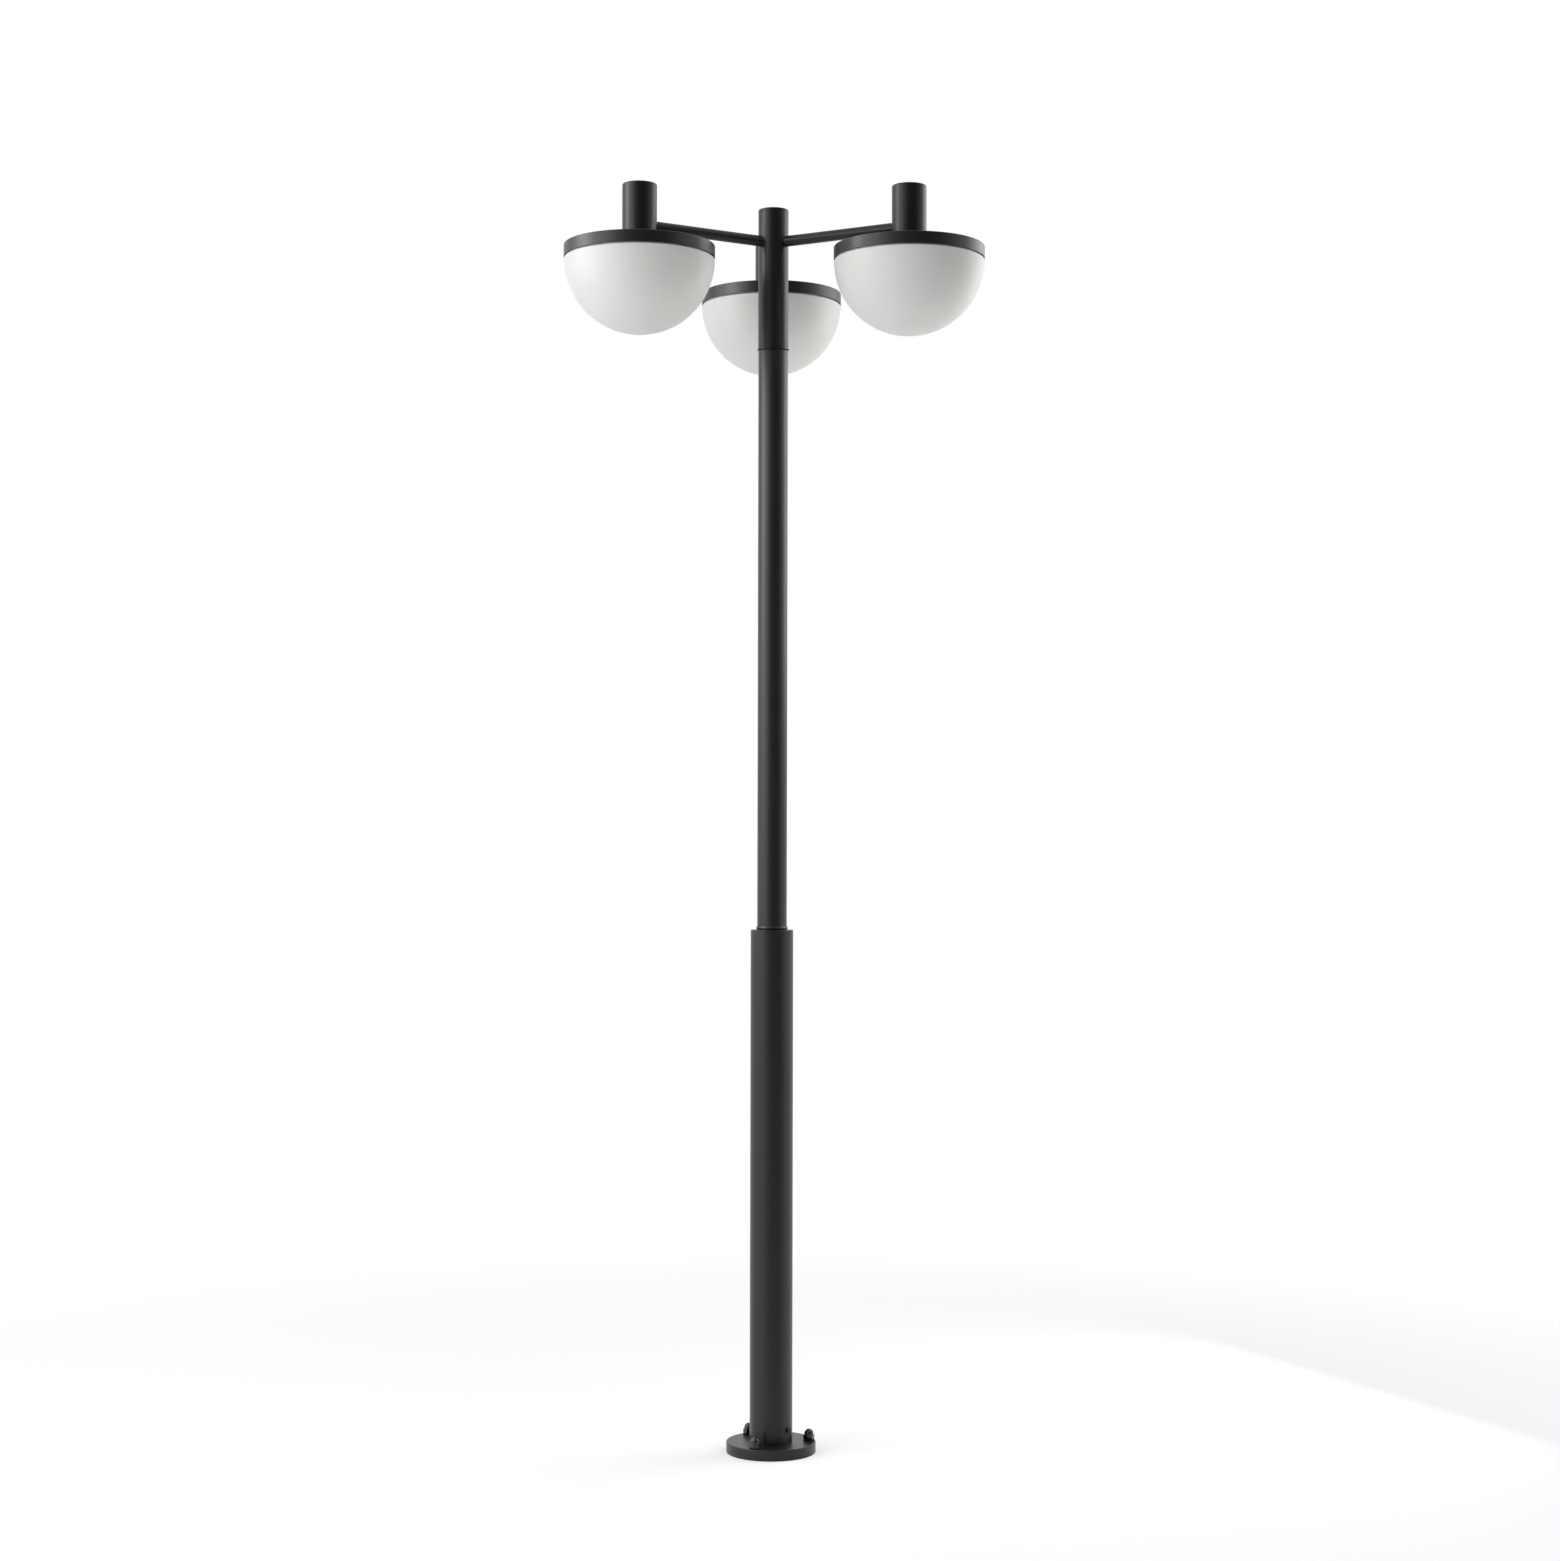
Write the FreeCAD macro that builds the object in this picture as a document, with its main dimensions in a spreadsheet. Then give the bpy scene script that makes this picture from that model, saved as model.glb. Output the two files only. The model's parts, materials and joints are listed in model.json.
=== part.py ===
"""Triple head lamp post: a round post in two steps, a hub, three level arms and three hanging
heads, each a can on a flat round canopy with an opal half-sphere bowl under it.

Frame: millimetres, +Z up, origin on the post's axis at the ground.  The heads stand at 90, 210 and
330 degrees about the post.  A head's own pieces are drawn in the head's frame: origin where the
arm's axis meets the head's axis, +X away from the post, +Z up.
"""
import FreeCAD, Part
import os
import re
import Sketcher

V = FreeCAD.Vector
X_AXIS = V(1, 0, 0)
Y_AXIS = V(0, 1, 0)
Z_AXIS = V(0, 0, 1)

# ---------------------------------------------------------------- driving dimensions (mm, degrees)
SIZES = {
    # foot
    "base_diameter": 157.0, "base_thickness": 19.0, "base_edge": 1.2,
    "spigot_height": 60.0, "spigot_wall": 6.0, "cable_hole": 30.0,
    "anchor_stud": 10.0, "stud_play": 1.0, "bolt_edge": 11.5, "bolt_turn": 5.3,
    "washer_diameter": 20.0, "washer_thickness": 1.6, "washer_play": 0.6,
    "nut_flats": 17.0, "nut_hex_height": 8.0, "nut_height": 18.0, "nut_bevel": 0.8,
    "nut_dome_diameter": 16.0, "nut_thread_depth": 1.0, "nut_bore_depth": 13.0,
    "bush_bore": 12.0, "bush_lip": 3.0, "bush_lip_height": 3.0, "bush_depth": 16.0, "bush_edge": 1.0,
    # screws that hold the lower tube on the spigot
    "tube_screw": 6.0, "tube_screw_head": 11.3, "tube_screw_height": 23.0,
    "tube_screw_turn": -43.3, "tube_screw_length": 12.0, "tube_screw_sink": 0.5,
    "tube_screw_socket": 4.0, "tube_screw_socket_depth": 2.0,
    # post
    "post_diameter": 75.0, "post_wall": 3.0, "post_length": 892.4,
    "stem_diameter": 52.2, "stem_wall": 2.0, "stem_length": 1022.1,
    "shoulder_lip": 3.0, "plug_depth": 25.0, "plug_edge": 0.5,
    "nipple_diameter": 20.0, "nipple_bore": 14.0, "nipple_length": 46.0,
    "collar_diameter": 55.8, "collar_height": 6.0, "collar_lift": 0.9,
    "collar_slope": 3.3, "collar_skirt": 2.0, "collar_draw": 0.9, "collar_land": 0.3,
    # hub
    "hub_diameter": 53.4, "hub_wall": 2.2, "hub_length": 237.9,
    "hub_foot_lip": 3.4, "hub_foot_edge": 0.6,
    "seal_section": 5.0, "seal_proud": 2.5, "seal_play": 0.02,
    "hub_cap_lip": 5.2, "hub_cap_skirt": 12.0, "hub_cap_skirt_wall": 2.5, "hub_cap_edge": 1.5,
    "terminal_length": 30.0, "terminal_width": 16.0, "terminal_height": 18.0,
    "terminal_lift": 15.0, "terminal_screw": 3.0, "terminal_screw_spacing": 22.0,
    "terminal_boss": 7.0, "terminal_screw_head": 6.0, "terminal_screw_head_height": 2.4,
    "terminal_screw_bite": 8.0, "terminal_entry_depth": 6.0,
    "earth_screw": 5.0, "earth_screw_head": 8.0, "earth_screw_head_height": 3.0,
    "earth_screw_bite": 8.0, "earth_screw_radius": 17.0,
    # arms
    "arm_reach": 268.0, "arm_diameter": 19.0, "arm_thread": 16.0, "arm_bore": 11.5,
    "arm_drop": 58.0, "arm_nut_flats": 22.0, "arm_nut_height": 5.0, "arm_thread_proud": 1.0,
    "saddle_diameter": 24.0,
    "lead_diameter": 4.4, "lead_bend_head": 12.0, "lead_bend_hub": 9.0,
    # head
    "housing_room": 7.5, "housing_wall": 2.0, "housing_rise": 70.0, "housing_drop": 36.5,
    "housing_edge": 1.8, "foot_ring_height": 8.0,
    "rim_diameter": 260.0, "rim_height": 21.0, "rim_wall": 1.6, "canopy_plate": 2.0,
    "canopy_edge": 1.0, "rim_edge": 0.4,
    "canopy_screw": 4.0, "canopy_screw_head": 7.0,
    "canopy_screw_head_height": 2.2, "canopy_screw_bite": 6.0,
    "ledge_rise": 3.5, "ledge_thickness": 2.0, "ledge_depth": 3.1, "ledge_arc": 20.0,
    "stop_height": 3.6, "stop_arc": 1.6, "stop_gap": 0.6, "catch_root": 0.3,
    "bowl_inset": 0.3, "bowl_wall": 3.0, "bowl_gap": 1.0, "bowl_edge": 3.0,
    "neck_play": 0.8, "lug_thickness": 3.0, "lug_arc": 18.0, "lug_play": 0.3,
    "gasket_width": 6.0, "gasket_height": 6.2, "gasket_play": 0.3,
    # lampholder and bulb
    "holder_diameter": 41.0, "holder_height": 46.0, "holder_drop": 14.0, "holder_play": 1.2,
    "holder_bore": 26.9, "holder_bore_depth": 30.0, "holder_edge": 1.5,
    "contact_diameter": 8.0, "contact_thickness": 1.5,
    "bracket_width": 16.0, "bracket_sheet": 2.0, "bracket_height": 14.0, "bracket_lead_hole": 9.0,
    "holder_screw": 3.0, "holder_screw_circle": 28.0, "holder_screw_head": 6.0,
    "holder_screw_head_height": 2.2, "holder_screw_bite": 8.0,
    "bulb_play": 0.35, "bulb_cap_length": 25.0, "bulb_cap_plain": 3.0,
    "thread_pitch": 3.6, "thread_depth": 0.7,
    "bulb_tip_diameter": 9.0, "bulb_tip_length": 3.0, "bulb_tip_slope": 1.5, "bulb_tip_play": 0.3,
    "bulb_diameter": 60.0, "bulb_length": 81.0, "bulb_wall": 1.0, "bulb_shoulder_angle": 35.0,
    # shared clearances, how far a screw's shank reaches into its head, and how far cuts run past faces
    "fit": 0.1, "thread_fit": 0.1, "hole_fit": 0.2, "screw_root": 0.5, "overcut": 1.0,
}
THREAD_RIDGES = 5
BOLTS = 3
TUBE_SCREWS = 2
CATCHES = 3
CANOPY_SCREWS = 3
HEADS = {1: 90.0, 2: 210.0, 3: 330.0}

# heights above the ground
SHOULDER = "(base_thickness + post_length + shoulder_lip)"
STEM_TOP = "(%s + stem_length)" % SHOULDER
HUB_FOOT = "(%s + seal_section)" % STEM_TOP
HUB_START = "(%s + hub_foot_lip)" % HUB_FOOT
HUB_END = "(%s + hub_length)" % HUB_START
ARM_AXIS = "(%s + hub_cap_lip - arm_drop)" % HUB_END
# radii
POST_BORE = "(post_diameter / 2 - post_wall)"
STEM_BORE = "(stem_diameter / 2 - stem_wall)"
HUB_BORE = "(hub_diameter / 2 - hub_wall)"
HOUSING_BORE = "(holder_diameter / 2 + housing_room)"
HOUSING_RADIUS = "(%s + housing_wall)" % HOUSING_BORE
RIM_BORE = "(rim_diameter / 2 - rim_wall)"
REGISTER = "(stem_diameter / 2 + seal_proud - seal_section - fit)"
BOLT_RADIUS = "(base_diameter / 2 - bolt_edge)"
BOWL_RADIUS = "(rim_diameter / 2 - bowl_inset)"
NECK_RADIUS = "(%s - ledge_depth - neck_play)" % RIM_BORE
LUG_RADIUS = "(%s - neck_play)" % RIM_BORE
FOOT_RING = "(holder_diameter / 2 + holder_play)"
CANOPY_SCREW_RADIUS = "((%s + %s) / 2 - fit)" % (FOOT_RING, HOUSING_RADIUS)
BULB_CAP_RADIUS = "(holder_bore / 2 - bulb_play)"
# heights in a head's frame, below the arm's axis
CANOPY_TOP = "(-housing_drop)"
CANOPY_UNDER = "(-housing_drop - canopy_plate)"
RIM_FOOT = "(-housing_drop - rim_height)"
BOWL_CENTRE = "(%s - bowl_gap)" % RIM_FOOT
NECK_TOP = "(%s - gasket_height - gasket_play)" % CANOPY_UNDER
LEDGE_TOP = "(%s + ledge_rise + ledge_thickness)" % RIM_FOOT
HOLDER_TOP = "(-holder_drop)"
HOLDER_MOUTH = "(-holder_drop - holder_height)"
HOLDER_END = "(%s + holder_bore_depth)" % HOLDER_MOUTH
BULB_TIP = "(%s - contact_thickness - bulb_tip_play)" % HOLDER_END
BULB_CAP_TOP = "(%s - bulb_tip_length)" % BULB_TIP
BULB_CAP_FOOT = "(%s - bulb_cap_length)" % BULB_CAP_TOP
# distances of an arm's nuts and thread ends from the axes of the hub and of the head
NUT_CORNER = "(arm_nut_flats / sqrt(3))"
HUB_NUT_FACE = "sqrt(%s ^ 2 - %s ^ 2)" % (HUB_BORE, NUT_CORNER)
HEAD_NUT_FACE = "sqrt(%s ^ 2 - %s ^ 2)" % (HOUSING_BORE, NUT_CORNER)
HUB_THREAD_END = "(%s - arm_nut_height - arm_thread_proud)" % HUB_NUT_FACE
HEAD_THREAD_END = "(%s - arm_nut_height - arm_thread_proud)" % HEAD_NUT_FACE

doc = FreeCAD.newDocument("LampPost")
sheet = doc.addObject("Spreadsheet::Sheet", "Sizes")
for row, (alias, value) in enumerate(SIZES.items(), start=1):
    sheet.set("A%d" % row, alias)
    sheet.set("B%d" % row, str(value))
    sheet.setAlias("B%d" % row, alias)
doc.recompute()

nodes = {}


# ---------------------------------------------------------------- small helpers
def linked(text):
    """The expression with each size's name pointed at the sheet."""
    return re.sub(r"[a-z_]+", lambda word: ("Sizes." if word.group() in SIZES else "") + word.group(), text)


def number(text):
    """The expression's value now, used only for a sketch's first guess and for signs."""
    return float(sheet.evalExpression(linked(text)))


def bind(item, **texts):
    """Bind properties of a document object to expressions."""
    for name, text in texts.items():
        item.setExpression(name, linked(text))
    return item


def place(item, x="0", y="0", z="0", turn=None, axis=Z_AXIS):
    """Bind an object's place, and its turn in degrees about an axis."""
    item.Placement = FreeCAD.Placement(V(0, 0, 0), FreeCAD.Rotation(axis, 90))
    for letter, text in zip("xyz", (x, y, z)):
        item.setExpression("Placement.Base.%s" % letter, linked(text))
    item.setExpression("Placement.Rotation.Angle", linked("(%s) * 1 deg" % (turn or "0")))
    return item


def node(name, item):
    """Name a finished sub-part."""
    item.Label = name
    nodes[name] = item
    return item


def at_head(item, azimuth):
    """Move a piece drawn in the head's frame to its own head."""
    reach = "arm_reach * cos(%g)" % azimuth, "arm_reach * sin(%g)" % azimuth
    return place(item, reach[0], reach[1], ARM_AXIS, "%g" % azimuth)


def origin_plane(body, role):
    return [item for item in body.Origin.OriginFeatures if item.Role == role][0]


def outline_sketch(body, name, outline):
    """A closed, fully constrained outline on the body's XZ plane; its points are (radius, height)."""
    sketch = body.newObject("Sketcher::SketchObject", name)
    sketch.AttachmentSupport = [(origin_plane(body, "XZ_Plane"), "")]
    sketch.MapMode = "FlatFace"
    spots = [V(number(point[0]), number(point[1]), 0) for point in outline]
    count = len(outline)
    for index in range(count):
        sketch.addGeometry(Part.LineSegment(spots[index], spots[(index + 1) % count]), False)
    for index, (radius, height) in enumerate(outline):
        sketch.addConstraint(Sketcher.Constraint("Coincident", index, 2, (index + 1) % count, 1))
        fix_coordinate(sketch, "DistanceX", index, 1, radius, -2)
        fix_coordinate(sketch, "DistanceY", index, 1, height, -1)
    return sketch


def fix_coordinate(sketch, kind, index, end, text, axis):
    """Dimension one coordinate of an outline point from the origin, or put it on the axis."""
    value = number(text)
    if abs(value) < 1e-9:
        sketch.addConstraint(Sketcher.Constraint("PointOnObject", index, end, axis))
        return
    pair = (-1, 1, index, end) if value > 0 else (index, end, -1, 1)
    constraint = sketch.addConstraint(Sketcher.Constraint(kind, *pair, abs(value)))
    signed = "(%s)" % text if value > 0 else "-(%s)" % text
    sketch.setExpression("Constraints[%d]" % constraint, linked(signed))


def turned(name, outline):
    """A turned piece: a body that revolves one outline about its own Z axis."""
    body = doc.addObject("PartDesign::Body", name)
    sketch = outline_sketch(body, name + "_outline", outline)
    spin = body.newObject("PartDesign::Revolution", name + "_spin")
    spin.Profile = sketch
    spin.ReferenceAxis = (sketch, ["V_Axis"])
    spin.Angle = 360
    return body


def ring(name, inner, outer, low, high):
    """A plain turned ring between two radii and two heights."""
    return turned(name, [(inner, low), (outer, low), (outer, high), (inner, high)])


def rod(name, radius, length, **where):
    """A round rod along its own Z axis."""
    return place(bind(doc.addObject("Part::Cylinder", name), Radius=radius, Height=length), **where)


def bar_x(name, radius, start, length, y="0", z="0"):
    """A round rod along +X of the frame, from x = start."""
    return rod(name, radius, length, x=start, y=y, z=z, turn="90", axis=Y_AXIS)


def ball(name, radius, z):
    """A sphere on the frame's Z axis."""
    return place(bind(doc.addObject("Part::Sphere", name), Radius=radius), z=z)


def block(name, length, width, height, x, y, z):
    """A box by its sides and its lowest corner."""
    return place(bind(doc.addObject("Part::Box", name), Length=length, Width=width, Height=height), x, y, z)


def sector(name, inner, outer, low, height, start, arc):
    """A piece of a ring from an angle, in degrees, through an arc."""
    pair = []
    for side, radius in (("outer", outer), ("inner", inner)):
        wedge = doc.addObject("Part::Cylinder", "%s_%s" % (name, side))
        bind(wedge, Radius=radius, Height=height, Angle=arc)
        pair.append(wedge)
    return place(less(name, pair[0], pair[1]), z=low, turn=start)


def less(name, blank, *tools):
    """The blank with the tools cut away."""
    cut = doc.addObject("Part::Cut", name)
    cut.Base = blank
    cut.Tool = tools[0] if len(tools) == 1 else union(name + "_tools", *tools)
    return cut


def union(name, *items):
    fuse = doc.addObject("Part::MultiFuse", name)
    fuse.Shapes = list(items)
    return fuse


def shared(name, first, second):
    common = doc.addObject("Part::Common", name)
    common.Base = first
    common.Tool = second
    return common


def group(name, items):
    """Several like pieces under one name."""
    compound = doc.addObject("Part::Compound", name)
    compound.Links = list(items)
    return node(name, compound)


def around(radius, start, count, index):
    """Place texts for one of a ring of pieces, at even angles from a start angle."""
    turn = "(%s + %g)" % (start, 360.0 * index / count)
    return {"x": "%s * cos(%s)" % (radius, turn), "y": "%s * sin(%s)" % (radius, turn), "turn": turn}


def round_screw(name, shank, head, head_height, length, up=True):
    """A pan screw with a slot, its head's bearing face at its own origin; up: the shank rises."""
    shank_low = "-screw_root" if up else "-(%s)" % length
    head_low = "-(%s)" % head_height if up else "0"
    reach = "(%s) + screw_root" % length
    pieces = union(name + "_blank",
                   rod(name + "_shank", "%s / 2 - thread_fit" % shank, reach, z=shank_low),
                   rod(name + "_head", "%s / 2" % head, head_height, z=head_low))
    slot_low = "-(%s)" % head_height if up else "%s / 2" % head_height
    slot = block(name + "_slot", head, "%s / 6" % head, "%s / 2" % head_height,
                 "-%s / 2" % head, "-%s / 12" % head, slot_low)
    return less(name, pieces, slot)


# ---------------------------------------------------------------- foot
def make_base_flange():
    """Round foot plate with the spigot that the lower tube stands over, bored for the cable."""
    spigot = POST_BORE + " - fit"
    body = turned("base_blank", [
        ("cable_hole / 2", "0"), ("base_diameter / 2 - base_edge", "0"),
        ("base_diameter / 2", "base_edge"), ("base_diameter / 2", "base_thickness - base_edge"),
        ("base_diameter / 2 - base_edge", "base_thickness"),
        (spigot, "base_thickness"), (spigot, "base_thickness + spigot_height"),
        (spigot + " - spigot_wall", "base_thickness + spigot_height"),
        (spigot + " - spigot_wall", "base_thickness"), ("cable_hole / 2", "base_thickness")])
    holes = []
    for index in range(BOLTS):
        spot = around(BOLT_RADIUS, "bolt_turn", BOLTS, index)
        holes.append(rod("bolt_hole_%d" % index, "(anchor_stud + stud_play) / 2",
                         "base_thickness + 2 * overcut", z="-overcut", **spot))
    for index in range(TUBE_SCREWS):
        holes.append(tube_screw_axis("spigot_tap_%d" % index, "tube_screw / 2", index))
        holes.append(tube_screw_cup("spigot_cup_%d" % index, index))
    node("base_flange", less("base_flange", body, *holes))


def at_tube_screw(name, item, index):
    """Move a piece drawn along +X from the post's axis to one tube screw's height and turn."""
    turn = "(tube_screw_turn + %g)" % (360.0 * index / TUBE_SCREWS)
    return place(moved(name, item), z="base_thickness + tube_screw_height", turn=turn)


def tube_screw_axis(name, radius, index):
    """A rod from the post's axis outwards along one tube screw's axis."""
    return at_tube_screw(name, bar_x(name + "_rod", radius, "0", "post_diameter"), index)


def tube_screw_cup(name, index):
    """The countersink for one tube screw's head, open outwards."""
    mouth = bar_x(name + "_mouth", "tube_screw_head / 2 + fit", "post_diameter / 2 - tube_screw_sink",
                  "post_wall")
    return at_tube_screw(name, union(name + "_sinks", tube_screw_head(name, "fit"), mouth), index)


def moved(name, *items):
    """A compound that only carries a placement."""
    compound = doc.addObject("Part::Compound", name)
    compound.Links = list(items)
    return compound


def make_base_fixings():
    """Washers and domed nuts over the three anchor holes; their studs belong to the ground."""
    washers = []
    nuts = []
    for index in range(BOLTS):
        spot = around(BOLT_RADIUS, "bolt_turn", BOLTS, index)
        washer = ring("washer_%d" % index, "(anchor_stud + washer_play) / 2", "washer_diameter / 2",
                      "0", "washer_thickness")
        washers.append(place(washer, z="base_thickness", **spot))
        nut = domed_nut("domed_nut_%d" % index)
        nuts.append(place(nut, z="base_thickness + washer_thickness", **spot))
    group("base_washers", washers)
    group("cap_nuts", nuts)


def domed_nut(name):
    """Hexagon, short round waist and half-sphere dome, with a blind thread hole from below."""
    corner = "nut_flats / sqrt(3)"
    hexagon = doc.addObject("Part::Prism", name + "_hexagon")
    hexagon.Polygon = 6
    bind(hexagon, Circumradius=corner, Height="nut_hex_height")
    bevel = turned(name + "_bevel", [
        ("0", "0"), (corner + " - nut_bevel", "0"), (corner, "nut_bevel * tan(30)"),
        (corner, "nut_hex_height - nut_bevel * tan(30)"),
        ("nut_flats / 2", "nut_hex_height"), ("0", "nut_hex_height")])
    dome_centre = "(nut_height - nut_dome_diameter / 2)"
    waist = rod(name + "_waist", "nut_dome_diameter / 2", dome_centre + " - nut_hex_height / 2",
                z="nut_hex_height / 2")
    dome = ball(name + "_dome", "nut_dome_diameter / 2", dome_centre)
    bore = "(anchor_stud / 2 - nut_thread_depth / 2)"
    thread = turned(name + "_thread", [
        ("0", "-overcut"), (bore, "-overcut"), (bore, "nut_bore_depth - %s / 2" % bore),
        ("0", "nut_bore_depth")])
    return less(name, union(name + "_blank", shared(name + "_hex", hexagon, bevel), waist, dome), thread)


def make_cable_bush():
    """Rubber bush in the cable hole, its lip on the plate."""
    body = "cable_hole / 2 - fit"
    lip_top = "base_thickness + bush_lip_height"
    node("cable_bush", turned("cable_bush", [
        ("bush_bore / 2", "base_thickness - bush_depth"), (body, "base_thickness - bush_depth"),
        (body, "base_thickness"), ("cable_hole / 2 + bush_lip", "base_thickness"),
        ("cable_hole / 2 + bush_lip", lip_top + " - bush_edge"),
        ("cable_hole / 2 + bush_lip - bush_edge", lip_top),
        ("bush_bore / 2", lip_top)]))


def make_tube_screws():
    """Countersunk socket screws through the lower tube into the spigot."""
    screws = []
    face = "(post_diameter / 2 - tube_screw_sink)"
    for index in range(TUBE_SCREWS):
        name = "tube_screw_%d" % index
        shank = bar_x(name + "_shank", "tube_screw / 2 - thread_fit", face + " - tube_screw_length",
                      "tube_screw_length - screw_root")
        socket = bind(doc.addObject("Part::Prism", name + "_socket"),
                      Circumradius="tube_screw_socket / sqrt(3)", Height="tube_screw_socket_depth + overcut")
        socket.Polygon = 6
        place(socket, x=face + " - tube_screw_socket_depth", turn="90", axis=Y_AXIS)
        screw = less(name + "_body", union(name + "_blank", shank, tube_screw_head(name, "0")), socket)
        screws.append(at_tube_screw(name, screw, index))
    group("tube_screws", screws)


def tube_screw_head(name, play):
    """The 90 degree cone under a tube screw's head, grown by a play on its radius."""
    depth = "(tube_screw_head - tube_screw) / 2"
    cone = bind(doc.addObject("Part::Cone", name + "_head"), Radius1="tube_screw / 2 + (%s)" % play,
                Radius2="tube_screw_head / 2 + (%s)" % play, Height=depth)
    return place(cone, x="post_diameter / 2 - tube_screw_sink - %s" % depth, turn="90", axis=Y_AXIS)


# ---------------------------------------------------------------- post
def make_lower_tube():
    """Thick lower tube on the foot plate, countersunk for its screws."""
    blank = ring("lower_tube_blank", POST_BORE, "post_diameter / 2", "base_thickness",
                 "base_thickness + post_length")
    holes = []
    for index in range(TUBE_SCREWS):
        holes.append(tube_screw_axis("tube_hole_%d" % index, "tube_screw / 2 + hole_fit", index))
        holes.append(tube_screw_cup("tube_cup_%d" % index, index))
    node("lower_tube", less("lower_tube", blank, *holes))


def make_plugs():
    """Pressed-in threaded plugs: the shoulder, both ends of the upper tube and the hub's foot."""
    thread = "nipple_diameter / 2"
    lip_low = SHOULDER + " - shoulder_lip"
    node("shoulder_cap", turned("shoulder_cap", [
        (thread, lip_low + " - plug_depth"), (POST_BORE + " - fit", lip_low + " - plug_depth"),
        (POST_BORE + " - fit", lip_low), ("post_diameter / 2", lip_low),
        ("post_diameter / 2", SHOULDER + " - plug_edge"), ("post_diameter / 2 - plug_edge", SHOULDER),
        (thread, SHOULDER)]))
    node("stem_foot_plug", ring("stem_foot_plug", thread, STEM_BORE + " - fit", SHOULDER,
                                SHOULDER + " + plug_depth"))
    node("stem_top_plug", turned("stem_top_plug", [
        (thread, STEM_TOP + " - plug_depth"), (STEM_BORE + " - fit", STEM_TOP + " - plug_depth"),
        (STEM_BORE + " - fit", STEM_TOP), (REGISTER, STEM_TOP), (REGISTER, HUB_FOOT), (thread, HUB_FOOT)]))
    node("hub_plug", less(
        "hub_plug",
        turned("hub_plug_blank", [
            (thread, HUB_FOOT), ("hub_diameter / 2", HUB_FOOT),
            ("hub_diameter / 2", HUB_START + " - hub_foot_edge"),
            ("hub_diameter / 2 - hub_foot_edge", HUB_START),
            (HUB_BORE + " - fit", HUB_START), (HUB_BORE + " - fit", HUB_START + " + plug_depth"),
            (thread, HUB_START + " + plug_depth")]),
        rod("earth_tap", "earth_screw / 2", "earth_screw_bite + 2 * overcut", y="-earth_screw_radius",
            z=HUB_START + " + plug_depth - earth_screw_bite - overcut")))


def make_nipples():
    """Threaded tubes that join the post's three lengths and pass the wires."""
    for name, middle in (("lower_nipple", SHOULDER), ("upper_nipple", HUB_FOOT)):
        node(name, ring(name, "nipple_bore / 2", "nipple_diameter / 2 - thread_fit",
                        middle + " - nipple_length / 2", middle + " + nipple_length / 2"))


def make_upper_tube():
    """Upper tube, its bore slightly opened at the top for the plug's register."""
    node("upper_tube", ring("upper_tube", STEM_BORE, "stem_diameter / 2", SHOULDER, STEM_TOP))


def make_collar():
    """Cone-topped collar round the foot of the upper tube, lifted off the shoulder by a thin gap."""
    foot = SHOULDER + " + collar_lift"
    bore = "stem_diameter / 2 + hole_fit"
    outer = "collar_diameter / 2"
    node("shoulder_collar", turned("shoulder_collar", [
        (bore, foot), (outer + " - collar_draw", foot), (outer, foot + " + collar_skirt"),
        (outer, foot + " + collar_height - collar_slope"),
        (bore + " + collar_land", foot + " + collar_height"),
        (bore, foot + " + collar_height")]))


def make_seal():
    """Round rubber ring squeezed between the upper tube and the hub's foot."""
    seal = doc.addObject("Part::Torus", "seal_ring")
    bind(seal, Radius1="stem_diameter / 2 + seal_proud - seal_section / 2",
         Radius2="seal_section / 2 - seal_play")
    node("seal_ring", place(seal, z=STEM_TOP + " + seal_section / 2"))


# ---------------------------------------------------------------- hub
def make_hub_tube():
    """Hub tube with a plain hole for each arm's thread."""
    blank = ring("hub_tube_blank", HUB_BORE, "hub_diameter / 2", HUB_START, HUB_END)
    holes = []
    for number_, azimuth in HEADS.items():
        drill = bar_x("arm_hole_%d_rod" % number_, "arm_thread / 2 + hole_fit", "0", "hub_diameter")
        holes.append(place(moved("arm_hole_%d" % number_, drill), z=ARM_AXIS, turn="%g" % azimuth))
    node("hub_tube", less("hub_tube", blank, *holes))


def make_hub_cap():
    """Push-in top cap with two bosses that carry the terminal block."""
    skirt = HUB_BORE + " - fit"
    blank = turned("hub_cap_blank", [
        ("0", HUB_END), (skirt + " - hub_cap_skirt_wall", HUB_END),
        (skirt + " - hub_cap_skirt_wall", HUB_END + " - hub_cap_skirt"),
        (skirt, HUB_END + " - hub_cap_skirt"), (skirt, HUB_END), ("hub_diameter / 2", HUB_END),
        ("hub_diameter / 2", HUB_END + " + hub_cap_lip - hub_cap_edge"),
        ("hub_diameter / 2 - hub_cap_edge", HUB_END + " + hub_cap_lip"), ("0", HUB_END + " + hub_cap_lip")])
    top = "(%s + terminal_lift + terminal_height)" % ARM_AXIS
    bosses = [rod("terminal_boss_%d" % side, "terminal_boss / 2",
                  "%s - %s + hub_cap_lip / 2" % (HUB_END, top),
                  x="%d * terminal_screw_spacing / 2" % side, z=top) for side in (-1, 1)]
    taps = [rod("terminal_tap_%d" % side, "terminal_screw / 2", "terminal_screw_bite + 2 * overcut",
                x="%d * terminal_screw_spacing / 2" % side, z=top + " - overcut") for side in (-1, 1)]
    node("hub_cap", less("hub_cap", union("hub_cap_bossed", blank, *bosses), *taps))


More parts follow.
